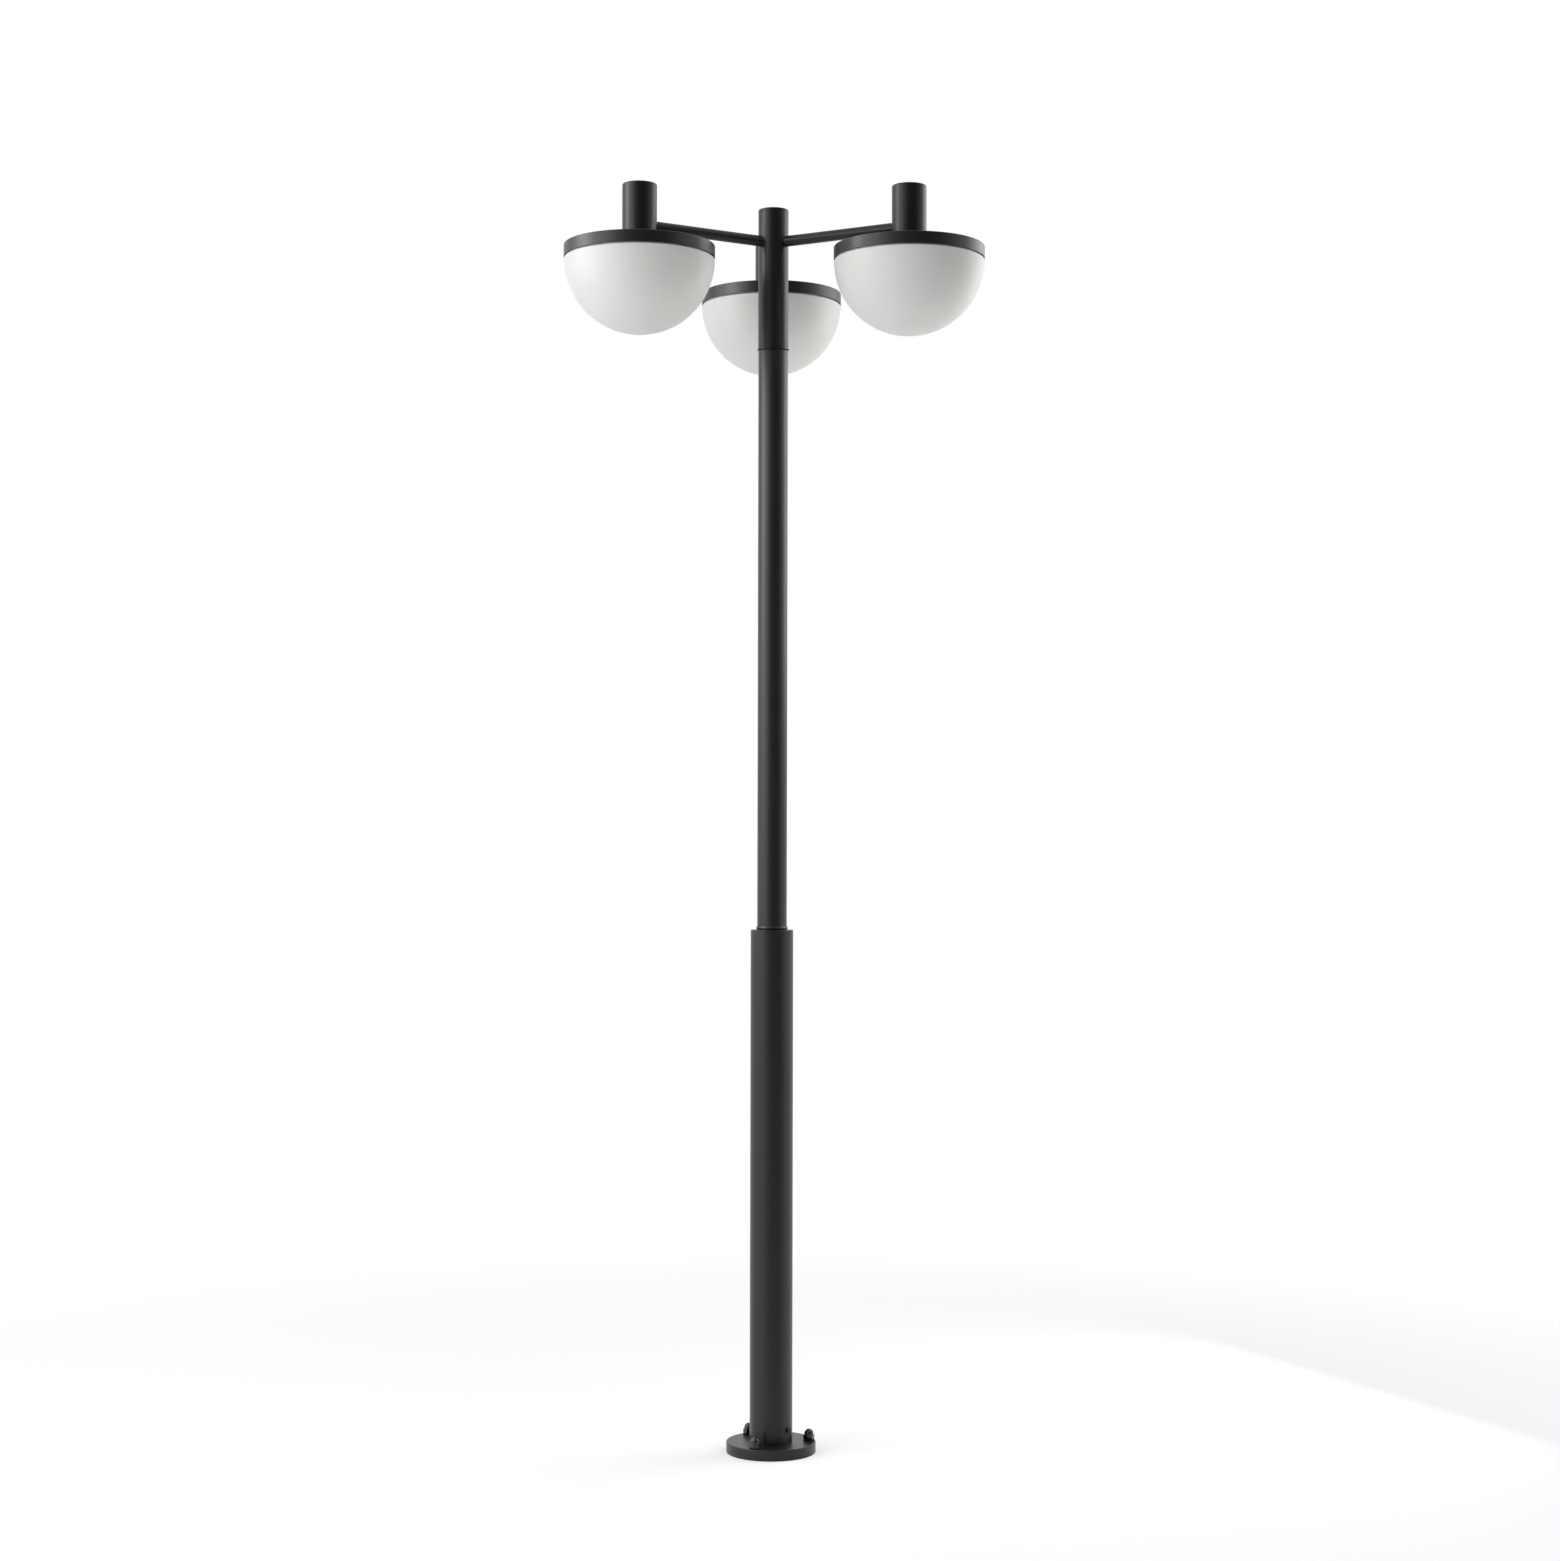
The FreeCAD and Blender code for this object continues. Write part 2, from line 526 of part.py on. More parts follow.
def make_terminals():
    """Terminal block under the cap's bosses, its two screws and the hub's earth screw."""
    low = "(%s + terminal_lift)" % ARM_AXIS
    body = block("terminal_body", "terminal_length", "terminal_width", "terminal_height",
                 "-terminal_length / 2", "-terminal_width / 2", low)
    holes = [rod("terminal_hole_%d" % side, "terminal_screw / 2 + fit", "terminal_height + 2 * overcut",
                 x="%d * terminal_screw_spacing / 2" % side, z=low + " - overcut") for side in (-1, 1)]
    inset = "(%s - lead_bend_hub)" % HUB_THREAD_END
    for number_, azimuth in HEADS.items():
        entry = {"x": "%s * cos(%g)" % (inset, azimuth), "y": "%s * sin(%g)" % (inset, azimuth)}
        holes.append(rod("terminal_entry_%d" % number_, "lead_diameter / 2 + fit",
                         "terminal_entry_depth + overcut", z=low + " - overcut", **entry))
    node("terminal_block", less("terminal_block", body, *holes))
    screws = []
    for side in (-1, 1):
        screw = round_screw("terminal_screw_%d" % side, "terminal_screw", "terminal_screw_head",
                            "terminal_screw_head_height", "terminal_height + terminal_screw_bite")
        screws.append(place(screw, x="%d * terminal_screw_spacing / 2" % side, z=low))
    group("terminal_screws", screws)
    earth = round_screw("earth_screw", "earth_screw", "earth_screw_head", "earth_screw_head_height",
                        "earth_screw_bite", up=False)
    node("earth_screw", place(earth, y="-earth_screw_radius", z=HUB_START + " + plug_depth"))


# ---------------------------------------------------------------- arms
def make_arm(tag, azimuth):
    """Level round arm, coped to the hub and the housing, with a hollow thread at each end."""
    hub_axis = "-arm_reach"
    body = bar_x("arm_body_" + tag, "arm_diameter / 2", hub_axis, "arm_reach")
    hub_cope = rod("arm_hub_cope_" + tag, "hub_diameter / 2", "arm_diameter * 2", x=hub_axis,
                   z="-arm_diameter")
    head_cope = rod("arm_head_cope_" + tag, HOUSING_RADIUS, "arm_diameter * 2", z="-arm_diameter")
    thread = bar_x("arm_thread_" + tag, "arm_thread / 2", "%s + %s" % (hub_axis, HUB_THREAD_END),
                   "arm_reach - %s - %s" % (HUB_THREAD_END, HEAD_THREAD_END))
    bore = bar_x("arm_bore_" + tag, "arm_bore / 2", hub_axis, "arm_reach")
    coped = less("arm_coped_" + tag, body, hub_cope, head_cope)
    arm = less("arm_" + tag, union("arm_fused_" + tag, coped, thread), bore)
    node("arm_" + tag, at_head(arm, azimuth))


def arm_nut(name, face, outward):
    """Thin lock nut on an arm's thread; face is the x of its bearing side."""
    hexagon = doc.addObject("Part::Prism", name + "_hexagon")
    hexagon.Polygon = 6
    bind(hexagon, Circumradius=NUT_CORNER, Height="arm_nut_height")
    start = face if outward else "%s - arm_nut_height" % face
    place(hexagon, x=start, turn="90", axis=Y_AXIS)
    return less(name, hexagon, bar_x(name + "_hole", "arm_thread / 2 + thread_fit",
                                     "%s - overcut" % start, "arm_nut_height + 2 * overcut"))


def saddle(name, centre, bore_radius, face, side):
    """Washer that is flat for the nut and round for the wall it presses on."""
    wall = rod(name + "_wall", bore_radius + " - fit", "saddle_diameter * 2", x=centre, z="-saddle_diameter")
    start = face if side > 0 else "%s - %s" % (face, bore_radius)
    disc = bar_x(name + "_disc", "saddle_diameter / 2", start, bore_radius)
    hole = bar_x(name + "_hole", "arm_thread / 2 + thread_fit", "%s - overcut" % start,
                 "%s + 2 * overcut" % bore_radius)
    return less(name, shared(name + "_blank", disc, wall), hole)


def make_arm_fixings():
    """Lock nuts and saddle washers at both ends of the three arms."""
    sets = {"hub_arm_nuts": [], "hub_saddles": [], "head_arm_nuts": [], "head_saddles": []}
    for number_, azimuth in HEADS.items():
        hub_face = "(-arm_reach + %s)" % HUB_NUT_FACE
        head_face = "(-%s)" % HEAD_NUT_FACE
        pieces = {
            "hub_arm_nuts": arm_nut("hub_nut_%d" % number_, hub_face, False),
            "hub_saddles": saddle("hub_saddle_%d" % number_, "-arm_reach", HUB_BORE, hub_face, 1),
            "head_arm_nuts": arm_nut("head_nut_%d" % number_, head_face, True),
            "head_saddles": saddle("head_saddle_%d" % number_, "0", HOUSING_BORE, head_face, -1)}
        for name, piece in pieces.items():
            sets[name].append(at_head(piece, azimuth))
    for name, pieces in sets.items():
        group(name, pieces)


def make_lead(tag, azimuth):
    """Flex from a lampholder up, level through its arm, and up to the terminal block."""
    name = "head_lead_" + tag
    radius = "lead_diameter / 2"
    hub_end = "(-arm_reach + %s - lead_bend_hub)" % HUB_THREAD_END
    pieces = [
        rod(name + "_holder_run", radius, "holder_drop - lead_bend_head", z=HOLDER_TOP),
        quarter_bend(name + "_head_bend", "-lead_bend_head", "-lead_bend_head", "lead_bend_head",
                     "90", X_AXIS),
        bar_x(name + "_arm_run", radius, hub_end + " + lead_bend_hub",
              "-%s - lead_bend_hub - lead_bend_head" % hub_end),
        quarter_bend(name + "_hub_bend", hub_end + " + lead_bend_hub", "lead_bend_hub", "lead_bend_hub",
                     "180", V(0, 1, -1)),
        rod(name + "_hub_run", radius, "terminal_lift - lead_bend_hub + terminal_entry_depth / 2", x=hub_end,
            z="lead_bend_hub")]
    node(name, at_head(union(name, *pieces), azimuth))


def quarter_bend(name, x, z, bend, turn, axis):
    """A quarter of a round bend of the flex, standing in the head's XZ plane."""
    torus = doc.addObject("Part::Torus", name)
    bind(torus, Radius1=bend, Radius2="lead_diameter / 2", Angle3="90 deg")
    return place(torus, x=x, z=z, turn=turn, axis=axis)


# ---------------------------------------------------------------- heads
def make_housing(tag, azimuth):
    """Closed round can with an inner foot ring for the canopy's screws and a hole for the arm."""
    outer = HOUSING_RADIUS
    blank = turned("housing_blank_" + tag, [
        (FOOT_RING, CANOPY_TOP), (outer, CANOPY_TOP), (outer, "housing_rise - housing_edge"),
        (outer + " - housing_edge", "housing_rise"), ("0", "housing_rise"),
        ("0", "housing_rise - housing_wall"),
        (HOUSING_BORE, "housing_rise - housing_wall"), (HOUSING_BORE, CANOPY_TOP + " + foot_ring_height"),
        (FOOT_RING, CANOPY_TOP + " + foot_ring_height")])
    drill = bar_x("housing_arm_hole_" + tag, "arm_thread / 2 + hole_fit", "-%s - overcut" % outer,
                  outer + " + overcut")
    taps = [rod("housing_tap_%s_%d" % (tag, index), "canopy_screw / 2", "canopy_screw_bite + 2 * overcut",
                z=CANOPY_TOP + " - overcut", **around(CANOPY_SCREW_RADIUS, "0", CANOPY_SCREWS, index))
            for index in range(CANOPY_SCREWS)]
    node("head_housing_" + tag, at_head(less("head_housing_" + tag, blank, drill, *taps), azimuth))


def make_canopy(tag, azimuth):
    """Spun dish: flat plate and down-turned band, with three catches and stops for the bowl."""
    outer = "rim_diameter / 2"
    blank = turned("canopy_blank_" + tag, [
        (FOOT_RING, CANOPY_UNDER), (RIM_BORE, CANOPY_UNDER), (RIM_BORE, RIM_FOOT),
        (outer + " - rim_edge", RIM_FOOT), (outer, RIM_FOOT + " + rim_edge"),
        (outer, CANOPY_TOP + " - canopy_edge"), (outer + " - canopy_edge", CANOPY_TOP),
        (FOOT_RING, CANOPY_TOP)])
    catches = []
    for index in range(CATCHES):
        middle = 360.0 * index / CATCHES
        catches.append(sector("ledge_%s_%d" % (tag, index), RIM_BORE + " - ledge_depth",
                              RIM_BORE + " + catch_root", RIM_FOOT + " + ledge_rise", "ledge_thickness",
                              "%g - ledge_arc / 2" % middle, "ledge_arc"))
        catches.append(sector("stop_%s_%d" % (tag, index), RIM_BORE + " - ledge_depth",
                              RIM_BORE + " + catch_root", LEDGE_TOP + " - catch_root",
                              "stop_height + catch_root", "%g + lug_arc / 2 + stop_gap" % middle,
                              "stop_arc"))
    holes = [rod("canopy_hole_%s_%d" % (tag, index), "canopy_screw / 2 + hole_fit",
                 "canopy_plate + 2 * overcut", z=CANOPY_UNDER + " - overcut",
                 **around(CANOPY_SCREW_RADIUS, "0", CANOPY_SCREWS, index))
             for index in range(CANOPY_SCREWS)]
    dish = union("canopy_caught_" + tag, blank, *catches)
    node("canopy_" + tag, at_head(less("canopy_" + tag, dish, *holes), azimuth))


def make_canopy_screws():
    """Screws up through each canopy into its housing's foot ring."""
    screws = []
    for number_, azimuth in HEADS.items():
        for index in range(CANOPY_SCREWS):
            screw = round_screw("canopy_screw_%d_%d" % (number_, index), "canopy_screw", "canopy_screw_head",
                                "canopy_screw_head_height", "canopy_plate + canopy_screw_bite")
            place(screw, z=CANOPY_UNDER, **around(CANOPY_SCREW_RADIUS, "0", CANOPY_SCREWS, index))
            holder = moved("canopy_screw_at_%d_%d" % (number_, index), screw)
            screws.append(at_head(holder, azimuth))
    group("canopy_screws", screws)


def make_gasket(tag, azimuth):
    """Rubber ring under the canopy that the bowl's neck closes against."""
    gasket = ring("bowl_gasket_" + tag, NECK_RADIUS + " - gasket_width", NECK_RADIUS,
                  CANOPY_UNDER + " - gasket_height", CANOPY_UNDER)
    node("bowl_gasket_" + tag, at_head(gasket, azimuth))


def make_bowl(tag, azimuth):
    """Opal half sphere with a stepped-in neck and three lugs that turn onto the catches."""
    outer = BOWL_RADIUS
    inner = "(%s - bowl_wall)" % BOWL_RADIUS
    neck_bore = "(%s - bowl_wall)" % NECK_RADIUS
    top_angle = "asin(bowl_edge / %s)" % outer
    shell = bind(ball("bowl_shell_" + tag, outer, BOWL_CENTRE), Angle2="-" + top_angle)
    edge = bind(doc.addObject("Part::Cone", "bowl_edge_" + tag), Radius1="%s * cos(%s)" % (outer, top_angle),
                Radius2=outer + " - bowl_edge", Height="bowl_edge")
    place(edge, z=BOWL_CENTRE + " - bowl_edge")
    collar = rod("bowl_neck_" + tag, NECK_RADIUS, "%s - %s + bowl_edge" % (NECK_TOP, BOWL_CENTRE),
                 z=BOWL_CENTRE + " - bowl_edge")
    mouth = rod("bowl_mouth_" + tag, neck_bore, "2 * " + outer, z="%s - %s" % (BOWL_CENTRE, outer))
    bubble = ball("bowl_bubble_" + tag, inner, BOWL_CENTRE)
    well = rod("bowl_well_" + tag, inner, outer, z=BOWL_CENTRE)
    cavity = shared("bowl_cavity_" + tag, mouth, union("bowl_room_" + tag, bubble, well))
    blank = less("bowl_blank_" + tag, union("bowl_solid_" + tag, shell, edge, collar), cavity)
    lugs = [sector("lug_%s_%d" % (tag, index), NECK_RADIUS + " - bowl_wall / 2", LUG_RADIUS,
                   LEDGE_TOP + " + lug_play", "lug_thickness",
                   "%g - lug_arc / 2" % (360.0 * index / CATCHES), "lug_arc") for index in range(CATCHES)]
    node("bowl_" + tag, at_head(union("bowl_" + tag, blank, *lugs), azimuth))


def make_lampholder(tag, azimuth):
    """Glazed lampholder, open below for the bulb's screw cap, and its sheet bracket."""
    outer = "holder_diameter / 2"
    blank = turned("holder_blank_" + tag, [
        ("holder_bore / 2", HOLDER_MOUTH), (outer, HOLDER_MOUTH), (outer, HOLDER_TOP + " - holder_edge"),
        (outer + " - holder_edge", HOLDER_TOP), ("0", HOLDER_TOP), ("0", HOLDER_END),
        ("holder_bore / 2", HOLDER_END)])
    taps = [rod("holder_tap_%s_%d" % (tag, side), "holder_screw / 2", "holder_screw_bite + 2 * overcut",
                y="%d * holder_screw_circle / 2" % side, z=HOLDER_TOP + " - holder_screw_bite - overcut")
            for side in (-1, 1)]
    node("lampholder_" + tag, at_head(less("lampholder_" + tag, blank, *taps), azimuth))
    can = rod("bracket_can_" + tag, HOUSING_BORE + " - fit", "bracket_height", z=HOLDER_TOP)
    strip = block("bracket_strip_" + tag, "bracket_width", "2 * " + HOUSING_RADIUS, "bracket_height",
                  "-bracket_width / 2", "-" + HOUSING_RADIUS, HOLDER_TOP)
    hollow = rod("bracket_hollow_" + tag, HOUSING_BORE + " - fit - bracket_sheet", "bracket_height",
                 z=HOLDER_TOP + " + bracket_sheet")
    passage = rod("bracket_passage_" + tag, "bracket_lead_hole / 2", "bracket_sheet + 2 * overcut",
                  z=HOLDER_TOP + " - overcut")
    holes = [rod("bracket_hole_%s_%d" % (tag, side), "holder_screw / 2 + hole_fit",
                 "bracket_sheet + 2 * overcut", y="%d * holder_screw_circle / 2" % side,
                 z=HOLDER_TOP + " - overcut") for side in (-1, 1)]
    folded = shared("bracket_blank_" + tag, can, strip)
    bracket = less("holder_bracket_" + tag, folded, hollow, passage, *holes)
    node("holder_bracket_" + tag, at_head(bracket, azimuth))


def make_holder_fixings():
    """Screws that hang the lampholders from their brackets, and the centre contacts."""
    screws = []
    contacts = []
    for number_, azimuth in HEADS.items():
        for side in (-1, 1):
            screw = round_screw("holder_screw_%d_%d" % (number_, side), "holder_screw", "holder_screw_head",
                                "holder_screw_head_height", "bracket_sheet + holder_screw_bite", up=False)
            place(screw, y="%d * holder_screw_circle / 2" % side, z=HOLDER_TOP + " + bracket_sheet")
            holder = moved("holder_screw_at_%d_%d" % (number_, side), screw)
            screws.append(at_head(holder, azimuth))
        pad = ring("contact_%d" % number_, "0", "contact_diameter / 2", HOLDER_END + " - contact_thickness",
                   HOLDER_END)
        contacts.append(at_head(pad, azimuth))
    group("holder_screws", screws)
    group("holder_contacts", contacts)


def make_bulb(tag, azimuth):
    """Screw-cap bulb: a ridged cap with its contact tip, and a hollow globe."""
    crest = BULB_CAP_RADIUS
    root = BULB_CAP_RADIUS + " - thread_depth"
    outline = [("0", BULB_CAP_FOOT), (crest, BULB_CAP_FOOT), (crest, BULB_CAP_FOOT + " + bulb_cap_plain")]
    for ridge in range(THREAD_RIDGES):
        low = "%s + bulb_cap_plain + %d * thread_pitch" % (BULB_CAP_FOOT, ridge)
        outline += [(root, low + " + thread_pitch / 4"), (root, low + " + thread_pitch / 2"),
                    (crest, low + " + thread_pitch * 3 / 4"), (crest, low + " + thread_pitch")]
    outline += [("bulb_tip_diameter / 2 + bulb_tip_slope", BULB_CAP_TOP),
                ("bulb_tip_diameter / 2", BULB_TIP), ("0", BULB_TIP)]
    node("bulb_cap_" + tag, at_head(turned("bulb_cap_" + tag, outline), azimuth))
    room = globe_solid("globe_room_" + tag, "bulb_wall")
    globe = less("bulb_globe_" + tag, globe_solid("globe_" + tag, "0"), room)
    node("bulb_globe_" + tag, at_head(globe, azimuth))


def globe_solid(name, inset):
    """The globe's ball, its cone tangent to the ball, and its neck, all drawn in by an inset."""
    radius = "(bulb_diameter / 2 - %s)" % inset
    neck = "(%s - fit - %s)" % (BULB_CAP_RADIUS, inset)
    centre = "(%s - bulb_length + bulb_diameter / 2)" % BULB_CAP_FOOT
    angle = "bulb_shoulder_angle"
    edge = "(%s * cos(%s))" % (radius, angle)
    edge_z = "(%s + %s * sin(%s))" % (centre, radius, angle)
    rise = "((%s - %s) / tan(%s))" % (edge, neck, angle)
    cone = bind(doc.addObject("Part::Cone", name + "_cone"), Radius1=edge, Radius2=neck, Height=rise)
    tube = rod(name + "_neck", neck, "%s - %s - %s" % (BULB_CAP_FOOT, edge_z, rise),
               z="%s + %s" % (edge_z, rise))
    return union(name, ball(name + "_ball", radius, centre), place(cone, z=edge_z), tube)


# ---------------------------------------------------------------- build, check and write
def build():
    make_base_flange()
    make_base_fixings()
    make_cable_bush()
    make_tube_screws()
    make_lower_tube()
    make_plugs()
    make_nipples()
    make_upper_tube()
    make_collar()
    make_seal()
    make_hub_tube()
    make_hub_cap()
    make_terminals()
    make_arm_fixings()
    make_canopy_screws()
    make_holder_fixings()
    for number_, azimuth in HEADS.items():
        for make in (make_arm, make_lead, make_housing, make_canopy, make_gasket, make_bowl,
                     make_lampholder, make_bulb):
            make(str(number_), azimuth)
    doc.recompute()


def check():
    """Stop on any object that failed to build and on any sub-part that is not sound."""
    failed = [item.Name for item in doc.Objects if {"Invalid", "Error"} & set(item.State)]
    if failed:
        raise RuntimeError("failed to build: %s" % ", ".join(failed))
    for name, item in nodes.items():
        if item.Shape.isNull() or not item.Shape.isValid() or not item.Shape.Solids:
            raise RuntimeError("not a sound solid: %s" % name)


def write():
    os.makedirs("parts", exist_ok=True)
    for name, item in nodes.items():
        item.Shape.exportStep("parts/%s.step" % name)
        print("%-18s %2d solid(s) %10.0f mm3" % (name, len(item.Shape.Solids), item.Shape.Volume))


build()
check()
write()
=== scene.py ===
"""Looks of the triple head lamp post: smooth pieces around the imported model, finishes, light and camera.

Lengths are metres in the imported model's own frame: +Z up, origin on the post's axis at the ground.
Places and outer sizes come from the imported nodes' boxes; what a box cannot tell, such as a wall or a
rounded edge, is a named field of the class that makes the piece.
"""
import json
import logging
import math
from dataclasses import dataclass, field
from enum import Enum
from typing import Any, Callable, Sequence

import bmesh
import bpy
import numpy as np
from mathutils import Matrix, Vector


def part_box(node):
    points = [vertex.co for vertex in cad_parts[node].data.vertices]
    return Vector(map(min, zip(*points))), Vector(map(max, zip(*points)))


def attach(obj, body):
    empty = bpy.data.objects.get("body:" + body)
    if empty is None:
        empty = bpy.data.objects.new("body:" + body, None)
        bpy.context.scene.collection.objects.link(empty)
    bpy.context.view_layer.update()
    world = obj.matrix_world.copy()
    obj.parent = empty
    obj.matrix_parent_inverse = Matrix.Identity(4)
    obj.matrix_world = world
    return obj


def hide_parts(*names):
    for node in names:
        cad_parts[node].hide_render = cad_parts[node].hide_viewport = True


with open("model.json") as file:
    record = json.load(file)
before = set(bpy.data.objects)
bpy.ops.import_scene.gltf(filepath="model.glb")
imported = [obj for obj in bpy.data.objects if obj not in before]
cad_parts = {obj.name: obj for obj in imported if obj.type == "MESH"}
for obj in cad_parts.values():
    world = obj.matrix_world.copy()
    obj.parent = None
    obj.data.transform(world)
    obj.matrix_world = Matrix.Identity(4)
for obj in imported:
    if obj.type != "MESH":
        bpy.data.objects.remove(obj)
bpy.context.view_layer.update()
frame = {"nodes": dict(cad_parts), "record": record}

Array = np.ndarray
Colour = tuple[float, float, float]
Corner = tuple[float, float, float]
BarrelStep = tuple[float, float, bool]

MM = 0.001
PLAY = 0.1 * MM
ROUND = 144
SHARP_ANGLE = math.radians(32)
MERGE_DISTANCE = 2e-7
HEADS = (1, 2, 3)
log = logging.getLogger("lamp_post")


class Body(Enum):
    """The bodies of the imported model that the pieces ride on."""

    POST = "post"
    DIFFUSER = "diffuser_%d"

    def of(self, head: int = 0) -> str:
        """The body's name, for one head where each head has its own."""
        return self.value % head if "%" in self.value else self.value


def numbered(name: str) -> list[str]:
    """A name for each head where it has a place for the head's number, or else the name alone."""
    return [name % head for head in HEADS] if "%d" in name else [name]


# ---------------------------------------------------------------- measures and outlines
@dataclass(frozen=True)
class Extent:
    """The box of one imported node."""

    low: Vector
    high: Vector

    @classmethod
    def of(cls, node: str) -> "Extent":
        """The extent of a node by its name."""
        return cls(*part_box(node))

    @property
    def bottom(self) -> float:
        """Lowest height."""
        return self.low.z

    @property
    def top(self) -> float:
        """Greatest height."""
        return self.high.z

    @property
    def radius(self) -> float:
        """Half the width, which is the radius of a round piece."""
        return (self.high.x - self.low.x) / 2

    @property
    def centre(self) -> tuple[float, float]:
        """Where a round piece's own axis stands."""
        return (self.low.x + self.high.x) / 2, (self.low.y + self.high.y) / 2


def arc(centre: tuple[float, float], radius: float, start: float, end: float, steps: int) -> Array:
    """Points of a circle's arc: centre + radius * (cos a, sin a) for a from start to end.

    Args:
        centre: The circle's centre in the outline's plane.
        radius: The circle's radius.
        start: First angle in degrees.
        end: Last angle in degrees.
        steps: Number of straight steps.

    Returns:
        An array of steps + 1 points.
    """
    angle = np.radians(np.linspace(start, end, steps + 1))
    return np.stack([centre[0] + radius * np.cos(angle), centre[1] + radius * np.sin(angle)], axis=1)


def rounded(corners: Sequence[Corner], closed: bool = True, steps: int = 6) -> Array:
    """An outline whose corners are rounded by arcs tangent to both of their sides.

    At a corner the arc starts at radius / tan(half the corner's angle) from the corner, and its
    centre lies on the bisector at radius / sin(half the angle).

    Args:
        corners: (distance from the axis, height, edge radius) of each corner.
        closed: Whether the last corner leads back to the first.
        steps: Straight steps in each arc.

    Returns:
        The outline's points; a closed one ends with its first point.
    """
    spots = np.array(corners, float)
    pieces: list[Array] = []
    for index, (radial, height, edge) in enumerate(corners):
        here = np.array([radial, height])
        inside = closed or 0 < index < len(corners) - 1
        if edge <= 0 or not inside:
            pieces.append(here[None])
            continue
        back = spots[index - 1, :2] - here
        ahead = spots[(index + 1) % len(corners), :2] - here
        back /= np.linalg.norm(back)
        ahead /= np.linalg.norm(ahead)
        half = math.acos(float(np.clip(back @ ahead, -1, 1))) / 2
        middle = here + (back + ahead) / np.linalg.norm(back + ahead) * edge / math.sin(half)
        first = here + back * edge / math.tan(half) - middle
        last = here + ahead * edge / math.tan(half) - middle
        share = np.linspace(0, 1, steps + 1)[:, None]
        sweep = math.acos(float(np.clip(first @ last / edge ** 2, -1, 1)))
        blend = (np.sin((1 - share) * sweep) * first + np.sin(share * sweep) * last) / math.sin(sweep)
        pieces.append(middle + blend)
    outline = np.concatenate(pieces)
    return np.concatenate([outline, outline[:1]]) if closed else outline


def circle(columns: int) -> Array:
    """Even angles once round, in radians."""
    return np.linspace(0, 2 * np.pi, columns, endpoint=False)


def spaced(first: float, count: int) -> list[float]:
    """Azimuths of so many things spread evenly round an axis, in degrees."""
    return [first + 360.0 * index / count for index in range(count)]


def steps_in(turn: float, columns: int = ROUND) -> int:
    """Steps in a turn of so many degrees where a full turn has so many columns."""
    return round(turn / 360.0 * columns)


def hexagon(flats: float, angle: Array) -> Array:
    """A hexagon's radius: half its flats / cos(angle to the nearest flat's middle), from a corner on."""
    sixth = np.pi / 3
    return flats / 2 / np.cos(angle % sixth - sixth / 2)


def around(radial: Any, angle: Array, height: Any, centre: tuple[float, float] = (0.0, 0.0)) -> Array:
    """Points (c + r cos a, d + r sin a, z) round an upright axis."""
    return np.stack([centre[0] + radial * np.cos(angle), centre[1] + radial * np.sin(angle),
                     height + 0 * angle], axis=-1)


def turned(outline: Array, centre: tuple[float, float] = (0.0, 0.0), start: float = 0.0,
           columns: int = ROUND) -> Array:
    """A surface of revolution from an outline.

    Args:
        outline: Points (r, z) of the profile.
        centre: Where the upright axis stands.
        start: Angle of the first column in degrees.
        columns: Number of columns round the axis.

    Returns:
        A grid of points, outline by columns by xyz.
    """
    return around(outline[:, :1], np.radians(start) + circle(columns), outline[:, 1:], centre)


def swung(points: Array, azimuth: float, centre: tuple[float, float] = (0.0, 0.0), z: float = 0.0) -> Array:
    """Points drawn along +X turned by an azimuth in degrees about Z and moved to a place."""
    cosine, sine = math.cos(math.radians(azimuth)), math.sin(math.radians(azimuth))
    x, y = points[..., 0], points[..., 1]
    return np.stack([centre[0] + x * cosine - y * sine, centre[1] + x * sine + y * cosine,
                     points[..., 2] + z], axis=-1)


def placed(name: str, data: Any) -> bpy.types.Object:
    """A new object in the scene."""
    made = bpy.data.objects.new(name, data)
    bpy.context.scene.collection.objects.link(made)
    return made


def quads_of(rows: int, columns: int, loop: bool) -> Array:
    """Quads of a grid of points, whose last column meets the first where it is a loop."""
    index = np.arange(rows * columns).reshape(rows, columns)
    if loop:
        index = np.concatenate([index, index[:, :1]], axis=1)
    return np.stack([index[:-1, :-1], index[:-1, 1:], index[1:, 1:], index[1:, :-1]], axis=-1).reshape(-1, 4)


def corners_of(mesh: bpy.types.Mesh) -> tuple[Array, float]:
    """A mesh's points and its volume, which is the sum of a . (b x c) / 6 over its triangles."""
    points = np.empty(len(mesh.vertices) * 3)
    mesh.vertices.foreach_get("co", points)
    points = points.reshape(-1, 3)
    mesh.calc_loop_triangles()
    index = np.empty(len(mesh.loop_triangles) * 3, int)
    mesh.loop_triangles.foreach_get("vertices", index)
    first, second, third = points[index].reshape(-1, 3, 3).transpose(1, 0, 2)
    return points, float((first * np.cross(second, third)).sum() / 6)


def fit(mesh: bpy.types.Mesh, node: str) -> tuple[float, float]:
    """How well a piece fits the node that it stands for.

    Args:
        mesh: The piece's mesh.
        node: The node's name.

    Returns:
        The largest difference of their boxes in mm, and the ratio of their volumes.
    """
    (points, volume), (packed, packed_volume) = corners_of(mesh), corners_of(frame["nodes"][node].data)
    apart = max(np.abs(points.min(axis=0) - packed.min(axis=0)).max(),
                np.abs(points.max(axis=0) - packed.max(axis=0)).max())
    return apart / MM, volume / packed_volume


